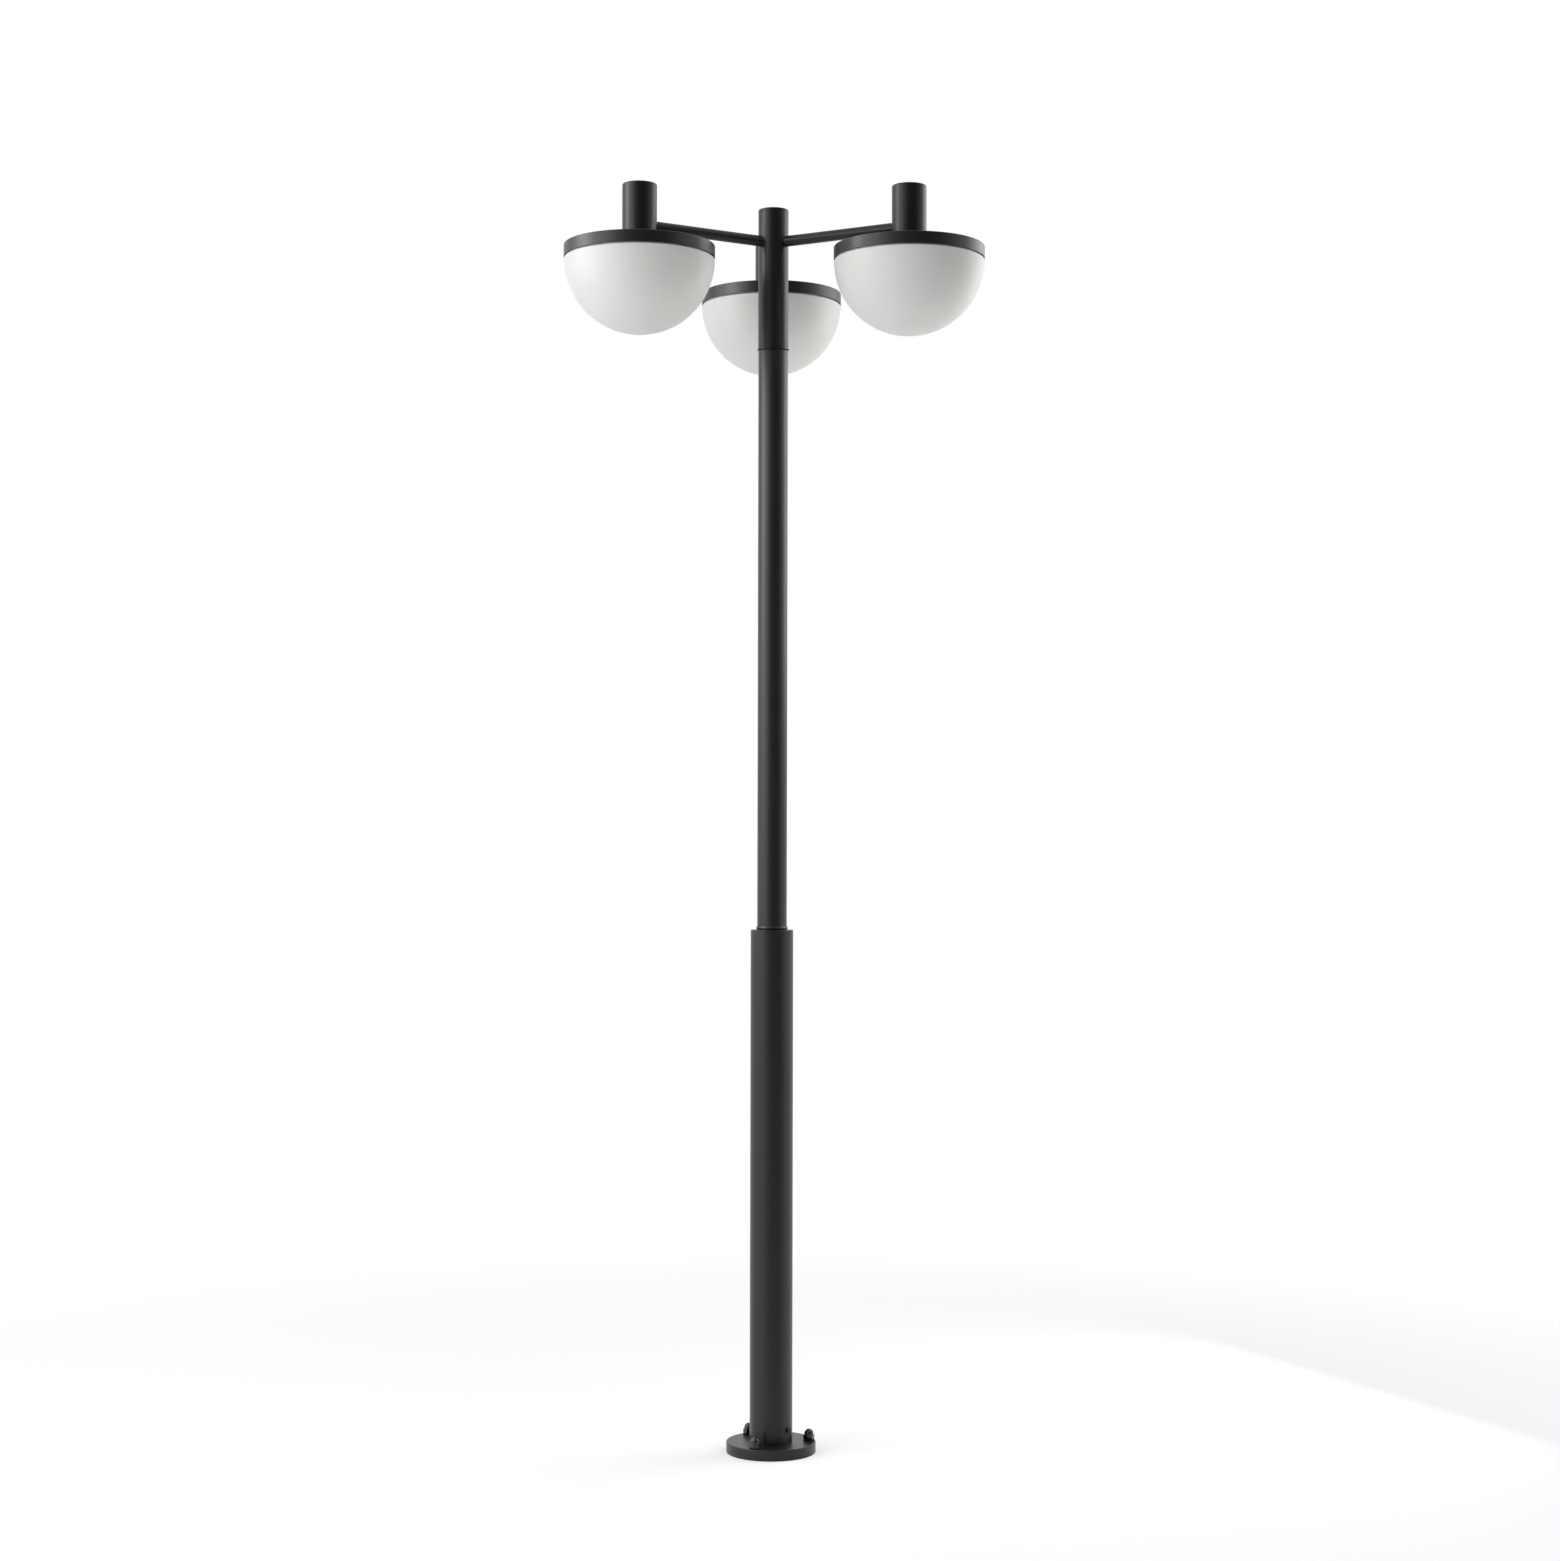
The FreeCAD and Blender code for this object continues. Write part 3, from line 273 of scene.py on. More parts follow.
class Shell:
    """One piece's closed surface, gathered from grids of points."""

    def __init__(self, name: str) -> None:
        """Starts an empty piece."""
        self.name = name
        self.points: list[Array] = []
        self.faces: list[Array] = []
        self.count = 0

    def add(self, grid: Array, loop: bool = True) -> "Shell":
        """Adds a grid of points as quads.

        Args:
            grid: Rows by columns by xyz.
            loop: Whether the last column meets the first.

        Returns:
            The shell itself.
        """
        rows, columns = grid.shape[:2]
        self.points.append(grid.reshape(-1, 3))
        self.faces.append(quads_of(rows, columns, loop) + self.count)
        self.count += rows * columns
        return self

    def piece(self, node: str, finish: "Finish", body: str = Body.POST.of()) -> None:
        """Makes the object: merged, closed, facing outwards, smooth between its sharp edges.

        Args:
            node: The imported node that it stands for.
            finish: Its finish.
            body: The body that it rides on.
        """
        mesh = bpy.data.meshes.new(self.name)
        mesh.from_pydata(np.concatenate(self.points).tolist(), [], np.concatenate(self.faces).tolist())
        edit = bmesh.new()
        edit.from_mesh(mesh)
        bmesh.ops.remove_doubles(edit, verts=edit.verts, dist=MERGE_DISTANCE)
        bmesh.ops.dissolve_degenerate(edit, edges=edit.edges, dist=MERGE_DISTANCE)
        bmesh.ops.recalc_face_normals(edit, faces=edit.faces)
        edit.to_mesh(mesh)
        edit.free()
        mesh.shade_smooth()
        mesh.set_sharp_from_angle(angle=SHARP_ANGLE)
        thing = placed(self.name, mesh)
        even = thing.modifiers.new("even_shading", "WEIGHTED_NORMAL")
        even.keep_sharp = True
        thing.data.materials.append(finish.material())
        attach(thing, body)
        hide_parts(node)
        log.info("%s: %d faces, stands for %s, box within %.2f mm, volume %.3f of the node's", self.name,
                 len(mesh.polygons), node, *fit(mesh, node))


# ---------------------------------------------------------------- shader maths
def maths(operation: str, swapped: bool = False) -> Callable[["Wire", Any], "Wire"]:
    """A method that joins a wire and a value by one Math node, with the value first where swapped."""
    def method(self: "Wire", other: Any) -> "Wire":
        """One Math node on the wire and the value."""
        first, second = (other, self) if swapped else (self, other)
        return self.graph.wire("ShaderNodeMath", {"operation": operation}, {0: first, 1: second})
    return method


class Wire:
    """A shader socket that takes part in sums, so that a pattern reads as a formula."""

    def __init__(self, graph: "Graph", socket: bpy.types.NodeSocket) -> None:
        """Wraps one output socket of a graph."""
        self.graph = graph
        self.socket = socket

    __add__ = __radd__ = maths("ADD")
    __sub__ = maths("SUBTRACT")
    __rsub__ = maths("SUBTRACT", swapped=True)
    __mul__ = __rmul__ = maths("MULTIPLY")
    __truediv__ = maths("DIVIDE")
    __pow__ = maths("POWER")
    at_most = maths("MINIMUM")
    at_least = maths("MAXIMUM")


class Graph:
    """The nodes of one material or of the world."""

    def __init__(self, owner: Any) -> None:
        """Empties the owner's tree and keeps it."""
        owner.use_nodes = True
        self.tree = owner.node_tree
        self.tree.nodes.clear()

    def node(self, kind: str, settings: dict[str, Any] | None = None,
             inputs: dict[Any, Any] | None = None) -> bpy.types.Node:
        """Adds a node, sets it up and then fills its sockets.

        Args:
            kind: The node's type.
            settings: Its own settings.
            inputs: Values or wires by socket name or number.

        Returns:
            The node.
        """
        made = self.tree.nodes.new(kind)
        for name, value in (settings or {}).items():
            setattr(made, name, value)
        for key, value in (inputs or {}).items():
            socket = made.inputs[key]
            if isinstance(value, Wire):
                self.tree.links.new(value.socket, socket)
            elif isinstance(value, tuple) and len(value) == 3 and len(socket.default_value) == 4:
                socket.default_value = (*value, 1)
            else:
                socket.default_value = value
        return made

    def wire(self, kind: str, settings: dict[str, Any] | None = None, inputs: dict[Any, Any] | None = None,
             output: Any = 0) -> Wire:
        """Adds a node and returns one of its outputs."""
        return Wire(self, self.node(kind, settings, inputs).outputs[output])

    def noise(self, places: Wire, scale: float, detail: float = 2.0, rough: float = 0.5) -> Wire:
        """Even noise from 0 to 1 with a scale in waves per metre."""
        return self.wire("ShaderNodeTexNoise", inputs={"Vector": places, "Scale": scale, "Detail": detail,
                                                       "Roughness": rough})

    def mixed(self, share: Any, first: Any, second: Any) -> Wire:
        """A colour between two colours."""
        return self.wire("ShaderNodeMix", {"data_type": "RGBA"}, {0: share, 6: first, 7: second}, 2)

    def bump(self, height: Wire, depth: float) -> Wire:
        """A normal bent by a height, whose whole range is a depth in metres."""
        return self.wire("ShaderNodeBump", inputs={"Strength": 1.0, "Distance": depth, "Height": height})


# ---------------------------------------------------------------- finishes
@dataclass(frozen=True)
class Finish:
    """A finish: its record slot, colour and gloss, and a pattern that varies them.

    The pattern is noise with so many waves per metre.  Tone and sway are the spreads of the colour and
    of the roughness over it, and depth is the height in metres to which it bends the surface.
    """

    slot: str
    colour: Colour
    roughness: float
    mirror: float = 0.5
    waves: float = 700.0
    detail: float = 3.0
    rough: float = 0.5
    tone: float = 0.1
    sway: float = 0.1
    depth: float = 0.00001

    def material(self) -> bpy.types.Material:
        """The finish's material, made once."""
        name = "%s_%s_%02d" % (type(self).__name__, self.slot, round(self.roughness * 100))
        found = bpy.data.materials.get(name)
        if found:
            return found
        made = bpy.data.materials.new(name)
        made.diffuse_color = (*self.colour, 1)
        graph = Graph(made)
        places = graph.wire("ShaderNodeTexCoord", output="Object")
        shader = graph.wire("ShaderNodeBsdfPrincipled", inputs=self.sockets(graph, places))
        graph.node("ShaderNodeOutputMaterial", inputs={"Surface": shader})
        return made

    def shade(self, graph: Graph, share: Wire) -> Wire:
        """The colour made darker and lighter by a share of itself."""
        dark = tuple(part * (1 - self.tone) for part in self.colour)
        light = tuple(min(1.0, part * (1 + self.tone)) for part in self.colour)
        return graph.mixed(share, dark, light)

    def sheen(self, share: Wire) -> Wire:
        """The roughness made lower and higher by half its spread."""
        return self.roughness + (share - 0.5) * self.sway

    def pattern(self, graph: Graph, places: Wire) -> Wire:
        """The finish's own noise."""
        return graph.noise(places, self.waves, self.detail, self.rough)

    def sockets(self, graph: Graph, places: Wire) -> dict[str, Any]:
        """The shader's sockets, with the tone, the gloss and the surface after one pattern."""
        pattern = self.pattern(graph, places)
        return {"Base Color": self.shade(graph, pattern), "Roughness": self.sheen(pattern),
                "Specular IOR Level": self.mirror, "Normal": graph.bump(pattern, self.depth)}


@dataclass(frozen=True)
class PowderCoat(Finish):
    """Satin powder coat: fine orange peel, and slow drifts of tone and gloss with a finer grain."""

    waves: float = 7.0
    tone: float = 0.35
    sway: float = 0.08
    depth: float = 0.00003
    peel: float = 520.0
    grain: float = 2080.0
    grain_share: float = 0.4
    grain_sway: float = 0.06

    def sockets(self, graph: Graph, places: Wire) -> dict[str, Any]:
        """Peel bends the surface, drift and grain change tone and gloss."""
        peel = graph.noise(places, self.peel, detail=1.5, rough=0.4)
        drift = self.pattern(graph, places)
        grain = graph.noise(places, self.grain, detail=1.0)
        both = drift * (1 - self.grain_share) + grain * self.grain_share
        return {"Base Color": self.shade(graph, both),
                "Roughness": self.sheen(drift) + (grain - 0.5) * self.grain_sway,
                "Specular IOR Level": self.mirror, "Normal": graph.bump(peel, self.depth)}


@dataclass(frozen=True)
class ClearCoated(Finish):
    """A pattern of tone and gloss under a clear coat, and a skin with a pattern of its own."""

    coat: float = 0.0
    coat_roughness: float = 0.03
    skin: float = 700.0

    def sockets(self, graph: Graph, places: Wire) -> dict[str, Any]:
        """Adds the coat and the skin."""
        skin = graph.noise(places, self.skin)
        return {**super().sockets(graph, places), "Coat Weight": self.coat,
                "Coat Roughness": self.coat_roughness, "Normal": graph.bump(skin, self.depth)}


@dataclass(frozen=True)
class Moulded(ClearCoated):
    """Moulded or glazed pieces with a faint drift of tone."""

    waves: float = 60.0
    tone: float = 0.04


@dataclass(frozen=True)
class GlossBlack(ClearCoated):
    """Glossy black coated steel, scuffed a little."""

    waves: float = 900.0
    rough: float = 0.7
    tone: float = 0.4
    depth: float = 0.00002
    coat: float = 0.3
    coat_roughness: float = 0.06
    skin: float = 400.0


@dataclass(frozen=True)
class BlackOxide(Finish):
    """Blackened steel with rubbed and dull places, which reflects little; the low reflection is partly
    painted shade, keeping washers and screws as dark as the contact shadow and recesses they sit in.
    """

    mirror: float = 0.2
    detail: float = 4.0
    rough: float = 0.6
    tone: float = 0.5
    sway: float = 0.2


@dataclass(frozen=True)
class Rubber(Finish):
    """Matte rubber with a mould's fine skin."""

    waves: float = 1500.0
    detail: float = 4.0
    rough: float = 0.6
    tone: float = 0.3
    sway: float = 0.2
    depth: float = 0.00004


@dataclass(frozen=True, kw_only=True)
class SqueezedSeal(Rubber):
    """Coated band of a seal, crossed by a dull bead of rubber that sits lower in front than at the sides.

    Low and high are the heights of the bead's middle, and half is half the bead's own height.
    """

    low: float
    high: float
    half: float
    mirror: float = 0.36
    depth: float = 0.00003
    dark: Colour = (0.002, 0.002, 0.002)
    dull: float = 0.95
    bead_share: float = 0.9
    bead_blend: float = 8.0

    def line(self, front: Any) -> Any:
        """The bead's height: low where front is 1, which is the side towards -Y, and high where it is 0."""
        return (1 - front) * (self.high - self.low) + self.low

    def sockets(self, graph: Graph, places: Wire) -> dict[str, Any]:
        """The bead's tone and gloss lie within half its height of its line."""
        x, y, z = (graph.wire("ShaderNodeSeparateXYZ", inputs={0: places}, output=name) for name in "XYZ")
        front = (y * -1.0 / (x ** 2 + y ** 2) ** 0.5).at_least(0.0)
        away = ((z - self.line(front)) ** 2) ** 0.5 / self.half
        band = ((away - self.bead_share) * self.bead_blend).at_least(0.0).at_most(1.0)
        plain = super().sockets(graph, places)
        return {**plain, "Base Color": graph.mixed(band, self.dark, plain["Base Color"]),
                "Roughness": band * (self.roughness - self.dull) + self.dull}


@dataclass(frozen=True)
class Opal(Finish):
    """Satin opal: light scatters a little way into it, and its skin is faintly frosted."""

    mirror: float = 0.3
    waves: float = 14.0
    detail: float = 2.0
    tone: float = 0.015
    sway: float = 0.12
    depth: float = 0.000008
    frost: float = 2600.0
    scatter: float = 0.35
    scatter_depth: float = 0.004

    def sockets(self, graph: Graph, places: Wire) -> dict[str, Any]:
        """Adds the scattering and the frosted skin."""
        frost = graph.noise(places, self.frost)
        return {**super().sockets(graph, places), "Roughness": self.sheen(frost),
                "Subsurface Weight": self.scatter, "Subsurface Radius": (1.0, 1.0, 1.0),
                "Subsurface Scale": self.scatter_depth, "Normal": graph.bump(frost, self.depth)}


@dataclass(frozen=True)
class BareMetal(Finish):
    """Plated or bare metal with a fine turned grain, which runs round the piece."""

    waves: float = 1800.0
    rough: float = 0.6
    tone: float = 0.12
    sway: float = 0.18
    stretch: tuple[float, float, float] = (0.15, 0.15, 1.0)

    def sockets(self, graph: Graph, places: Wire) -> dict[str, Any]:
        """Stretches the pattern level and makes it metal."""
        along = graph.wire("ShaderNodeMapping", inputs={"Vector": places, "Scale": self.stretch})
        return {**super().sockets(graph, along), "Metallic": 1.0}


COAT = PowderCoat("powder_coat", (0.0076, 0.0098, 0.0108), 0.36)
# Painted shade: a darker, less glossy copy of the same powder coat. It goes on the hub, its foot and cap, the
# arms, the housings and the seal's band, and stands in for the shade that the heads cast up among them.
PAINTED_SHADE_HEAD_COAT = PowderCoat("powder_coat", (0.0072, 0.0094, 0.0103), 0.34, mirror=0.36)
NUT_BLACK = GlossBlack("black_steel", (0.004, 0.004, 0.0045), 0.16)
# Partly painted shade: black steel for the washers and screws. It is made to reflect little, so that it also
# stands in for the contact shadow round the washers and the shade in the screws' recesses.
DULL_BLACK_WITH_PAINTED_SHADE = BlackOxide("black_steel", (0.005, 0.005, 0.0055), 0.42)
SEAL = Rubber("rubber", (0.012, 0.012, 0.012), 0.45)
OPAL = Opal("opal", (0.862, 0.870, 0.830), 0.45)
ZINC = BareMetal("zinc_steel", (0.55, 0.56, 0.58), 0.32)
BRASS = BareMetal("brass", (0.72, 0.52, 0.22), 0.3)
NICKEL = BareMetal("bulb_metal", (0.66, 0.64, 0.60), 0.25)
NYLON = Moulded("natural_plastic", (0.72, 0.70, 0.64), 0.45)
SHEATH = Moulded("lead_sheath", (0.70, 0.70, 0.68), 0.5)
PORCELAIN = Moulded("porcelain", (0.82, 0.80, 0.75), 0.25, coat=0.8)
GLOBE = Opal("bulb_opal", (0.86, 0.86, 0.84), 0.3, scatter=0.2)


# ---------------------------------------------------------------- drilled walls
@dataclass(frozen=True)
class Drill:
    """Round holes through an upright round wall, each in the middle of its own patch of a band.

    The band of the wall is unrolled to (angle, height).  In a patch a point of the surface lies
    between the hole's rim and the patch's edge: p = (1 - s) * rim + s * edge, for s from 0 to 1.
    Between the patches the band is a plain part of the round wall.
    """

    azimuth: float
    count: int
    height: float
    band: float
    half_turn: float = 30.0
    sides: int = 12
    rows: int = 6

    @property
    def low(self) -> float:
        """Lower edge of the band."""
        return self.height - self.band

    @property
    def high(self) -> float:
        """Upper edge of the band."""
        return self.height + self.band

    def edge(self) -> Array:
        """A patch's edge as (angle from its hole, height from its hole), going round once."""
        half = math.radians(self.half_turn)
        across = np.linspace(-half, half, steps_in(2 * self.half_turn) + 1)
        upward = np.linspace(-self.band, self.band, self.sides + 1)[1:-1]
        side = np.full_like(upward, half)
        return np.concatenate([
            np.stack([across, np.full_like(across, -self.band)], axis=1), np.stack([side, upward], axis=1),
            np.stack([across[::-1], np.full_like(across, self.band)], axis=1),
            np.stack([-side, upward[::-1]], axis=1)])

    def aim(self, wall: float) -> Array:
        """Directions in the unrolled wall from a hole's centre to its patch's edge."""
        edge = self.edge()
        return np.arctan2(edge[:, 1], edge[:, 0] * wall)

    def face(self, shell: Shell, wall: float, radius: float, centre: tuple[float, float]) -> None:
        """Adds the band of one face of the wall; a hole's rim has sin(angle) = y / wall.

        Args:
            shell: The shell that gets it.
            wall: The face's radius.
            radius: The holes' radius in this face.
            centre: Where the wall's axis stands.
        """
        aim = self.aim(wall)
        rim = np.stack([np.arcsin(radius * np.cos(aim) / wall), radius * np.sin(aim)], axis=1)
        share = np.linspace(0, 1, self.rows + 1)[:, None, None]
        patch = (1 - share) * rim + share * self.edge()
        gap = 360.0 / self.count - 2 * self.half_turn
        across = np.radians(np.linspace(self.half_turn, self.half_turn + gap, steps_in(gap) + 1))
        upward = np.linspace(-self.band, self.band, self.sides + 1)
        plain = np.stack(np.meshgrid(across, upward), axis=-1)
        for turn in spaced(self.azimuth, self.count):
            for flat, loop in ((patch, True), (plain, False)):
                shell.add(around(wall, flat[..., 0] + math.radians(turn), self.height + flat[..., 1], centre),
                          loop)

    def barrel(self, shell: Shell, steps: Sequence[BarrelStep], centre: tuple[float, float]) -> None:
        """Adds the inside of each hole.

        Args:
            shell: The shell that gets it.
            steps: (distance from the wall's axis, hole radius, whether the step follows the wall's
                curve); a step that doesn't lies in one plane.
            centre: Where the wall's axis stands.
        """
        rings = []
        for distance, radius, curved in steps:
            aim = self.aim(distance if curved else steps[0][0])
            y, z = radius * np.cos(aim), radius * np.sin(aim)
            x = np.sqrt(distance ** 2 - y ** 2) if curved else np.full_like(y, distance)
            rings.append(np.stack([x, y, z], axis=-1))
        for turn in spaced(self.azimuth, self.count):
            shell.add(swung(np.array(rings), turn, centre, self.height))

    def through(self, shell: Shell, steps: Sequence[BarrelStep],
                centre: tuple[float, float] = (0, 0)) -> None:
        """Adds the band of both faces and the holes between them; steps go from the outer face inwards."""
        for distance, radius, _ in (steps[0], steps[-1]):
            self.face(shell, distance, radius, centre)
        self.barrel(shell, steps, centre)

    def tube(self, shell: Shell, steps: Sequence[BarrelStep], low: tuple[float, float],
             high: tuple[float, float], arcs: int = 3) -> None:
        """Adds a whole drilled tube on the post's axis.

        Args:
            shell: The shell that gets it.
            steps: The holes' barrel, from the outer face inwards.
            low: Height and edge radius of the lower end.
            high: Height and edge radius of the upper end.
            arcs: Steps in each rounded edge.
        """
        outer, inner = steps[0][0], steps[-1][0]
        for first, last, band, end in ((inner, outer, self.high, high), (outer, inner, self.low, low)):
            part = rounded([(first, band, 0), (first, *end), (last, *end), (last, band, 0)], False, arcs)
            shell.add(turned(part, start=self.azimuth))
        self.through(shell, steps)


@dataclass(frozen=True)
class Pierced:
    """A flat round side with round holes, each in the middle of its own patch of the ring.

    In a patch a point lies between the hole's rim and the patch's edge: p = (1 - s) * rim + s * edge,
    for s from 0 to 1.  Between the patches the side is a plain part of a ring.
    """

    azimuth: float
    count: int
    circle: float
    radius: float
    bore: float
    outer: float
    half_turn: float
    centre: tuple[float, float] = (0.0, 0.0)
    columns: int = ROUND
    sides: int = 8
    rows: int = 6

    def edge(self) -> Array:
        """A patch's edge about +X as (x, y), going round once."""
        half = math.radians(self.half_turn)
        across = np.linspace(-half, half, steps_in(2 * self.half_turn, self.columns) + 1)
        between = np.linspace(self.outer, self.bore, self.sides + 1)[1:-1, None]
        rim = np.stack([np.cos(across), np.sin(across)], axis=1)
        return np.concatenate([rim * self.outer, between * rim[-1], rim[::-1] * self.bore,
                               between[::-1] * rim[0]])

    def rim(self, radius: float) -> Array:
        """The hole's rim about +X at a radius, with a point for each point of the patch's edge."""
        edge = self.edge()
        aim = np.arctan2(edge[:, 1], edge[:, 0] - self.circle)
        return np.stack([self.circle + radius * np.cos(aim), radius * np.sin(aim)], axis=1)

    def place(self, shell: Shell, flat: Array, height: Array | float, loop: bool = True) -> None:
        """Adds a grid drawn about +X once for each hole."""
        level = np.broadcast_to(height, flat.shape[:2])[..., None]
        for turn in spaced(self.azimuth, self.count):
            shell.add(swung(np.concatenate([flat, level], axis=-1), turn, self.centre), loop)

    def face(self, shell: Shell, height: float) -> None:
        """Adds the flat side at a height."""
        share = np.linspace(0, 1, self.rows + 1)[:, None, None]
        self.place(shell, (1 - share) * self.rim(self.radius) + share * self.edge(), height)
        gap = 360.0 / self.count - 2 * self.half_turn
        if gap > 0:
            across = np.radians(np.linspace(self.half_turn, self.half_turn + gap,
                                            steps_in(gap, self.columns) + 1))
            radial = np.linspace(self.bore, self.outer, self.sides + 1)[:, None]
            self.place(shell, np.stack([radial * np.cos(across), radial * np.sin(across)], axis=-1),
                       height, False)

    def through(self, shell: Shell, low: float, high: float) -> None:
        """Adds the flat sides at two heights and the holes between them."""
        self.face(shell, low)
        self.face(shell, high)
        self.wall(shell, [(self.radius, low), (self.radius, high)])

    def wall(self, shell: Shell, outline: Sequence[tuple[float, float]]) -> None:
        """Adds the inside of each hole, or a boss on it, from (radius, height) points."""
        rings = np.array([self.rim(radius) for radius, _ in outline])
        self.place(shell, rings, np.array([height for _, height in outline])[:, None])


# ---------------------------------------------------------------- the foot
@dataclass
class Foot:
    """Disc foot with its spigot and bolt holes, the bush, the washers and the domed nuts."""

    bolt_turn: float = 5.3
    bolts: int = 3
    plate_edge: float = 1.6 * MM
    plate_height: float = 19.0 * MM
    hole_radius: float = 5.5 * MM
    cable_radius: float = 15.0 * MM
    spigot_wall: float = 6.0 * MM
    spigot_edge: float = 0.8 * MM
    root: float = 0.5 * MM
    flats: float = 17.0 * MM
    hex_height: float = 8.0 * MM
    dome_radius: float = 8.0 * MM
    dome_flare: float = 0.8 * MM
    nut_face: float = 0.97
    nut_bevel: float = 0.577
    nut_columns: int = 120
    bush_bore: float = 6.0 * MM
    bush_body: float = 14.9 * MM
    bush_lip: float = 3.0 * MM
    bush_curl: float = 1.4 * MM
    washer_bore: float = 5.3 * MM
    washer_radius: float = 10.0 * MM
    washer_edge: float = 0.35 * MM

    def build(self) -> None:
        """Makes every piece of the foot."""
        self.plate()
        self.bush()
        self.washers()
        self.nuts()

    @property
    def spigot_radius(self) -> float:
        """The spigot's outer radius, which fits the lower tube's bore."""
        return Extent.of("lower_tube").radius - Post.lower_wall - PLAY

    def spots(self) -> list[tuple[float, float, float]]:
        """(x, y, azimuth) of each anchor hole, on the record's bolt circle."""
        reach = frame["record"]["mounts"][0]["dims"]["pcd_mm"] / 2 * MM
        return [(reach * math.cos(math.radians(turn)), reach * math.sin(math.radians(turn)), turn)
                for turn in spaced(self.bolt_turn, self.bolts)]

    def plate(self) -> None:
        """Foot plate with rounded edges, anchor holes, and the spigot rooted in it with its tapped holes."""
        box = Extent.of("base_flange")
        shell = Shell("foot_plate")
        outer, high = box.radius, self.plate_height
        flat = outer - self.plate_edge
        edge = rounded([(flat, 0.0, 0), (outer, 0.0, self.plate_edge), (outer, high, self.plate_edge),
                        (flat, high, 0)], closed=False)
        shell.add(turned(edge, start=self.bolt_turn))
        middle = np.array([[self.spigot_radius, 0.0], [self.cable_radius, 0.0], [self.cable_radius, high],
                           [self.spigot_radius, high]])
        shell.add(turned(middle, start=self.bolt_turn))
        holes = Pierced(self.bolt_turn, self.bolts, math.hypot(*self.spots()[0][:2]), self.hole_radius,
                        self.spigot_radius, flat, 60.0)
        holes.through(shell, 0.0, high)
        tapped = [(radius, Post.screw_radius, True)
                  for radius in (self.spigot_radius, self.spigot_radius - self.spigot_wall)]
        Post.screw_drill().tube(shell, tapped, (high - self.root, 0), (box.top, self.spigot_edge), arcs=6)
        shell.piece("base_flange", COAT)

    def bush(self) -> None:
        """Rubber bush with a rolled lip and a rounded mouth."""
        box = Extent.of("cable_bush")
        bore, body, lip, step = self.bush_bore, self.bush_body, box.radius, box.top - self.bush_lip
        outline = rounded([(bore, box.bottom, 1 * MM), (body, box.bottom, 1 * MM), (body, step, 0),
                           (lip, step, 0.3 * MM), (lip, box.top, self.bush_curl),
                           (bore, box.top, self.bush_curl)])
        Shell("cable_bush_rubber").add(turned(outline, columns=96)).piece("cable_bush", SEAL)

    def washers(self) -> None:
        """Flat washers with softened edges."""
        box = Extent.of("base_washers")
        bore, outer, edge = self.washer_bore, self.washer_radius, self.washer_edge
        outline = rounded([(bore, box.bottom, edge), (outer, box.bottom, edge), (outer, box.top, edge),
                           (bore, box.top, edge)], steps=3)
        shell = Shell("flat_washers")
        for x, y, _ in self.spots():
            shell.add(turned(outline, centre=(x, y), columns=72))
        shell.piece("base_washers", DULL_BLACK_WITH_PAINTED_SHADE)

    def nuts(self) -> None:
        """Domed nuts: radius(angle, height) = least of the hexagon, its bevel cones, and the dome.

        Above the hexagon come a flared waist and a half sphere, and inside it a blind thread hole.
        """
        box = Extent.of("cap_nuts")
        angle = circle(self.nut_columns)
        corner, face = self.flats / math.sqrt(3), self.flats / 2 * self.nut_face
        rise = np.linspace(0, 1, 9)
        foot = np.stack([face + (corner - face) * rise,
                         rise * (corner - self.flats / 2) * self.nut_bevel], axis=1)
        head = np.stack([foot[::-1, 0], self.hex_height - foot[::-1, 1]], axis=1)
        hex_rows = np.concatenate([foot, head])
        ball, top = self.dome_radius, box.top - box.bottom
        flare = rounded([(face, self.hex_height, 0), (ball, self.hex_height, self.dome_flare),
                         (ball, top - ball, 0)], closed=False)[1:]
        dome = arc((0.0, top - ball), ball, 0, 90, 16)
        bore = MM * np.array([[0.0, 13.0], [4.4, 11.0], [4.5, 10.4], [4.5, 0.5], [5.0, 0.0]])
        rows = np.concatenate([bore, hex_rows, flare, dome])
        six_sided = np.zeros((len(rows), 1), bool)
        six_sided[len(bore):len(bore) + len(hex_rows)] = True
        radial = np.where(six_sided, np.minimum(hexagon(self.flats, angle), rows[:, :1]), rows[:, :1])
        local = around(radial, angle, rows[:, 1:])
        shell = Shell("domed_nuts")
        for x, y, turn in self.spots():
            shell.add(swung(local, turn, (x, y), box.bottom))
        shell.piece("cap_nuts", NUT_BLACK)


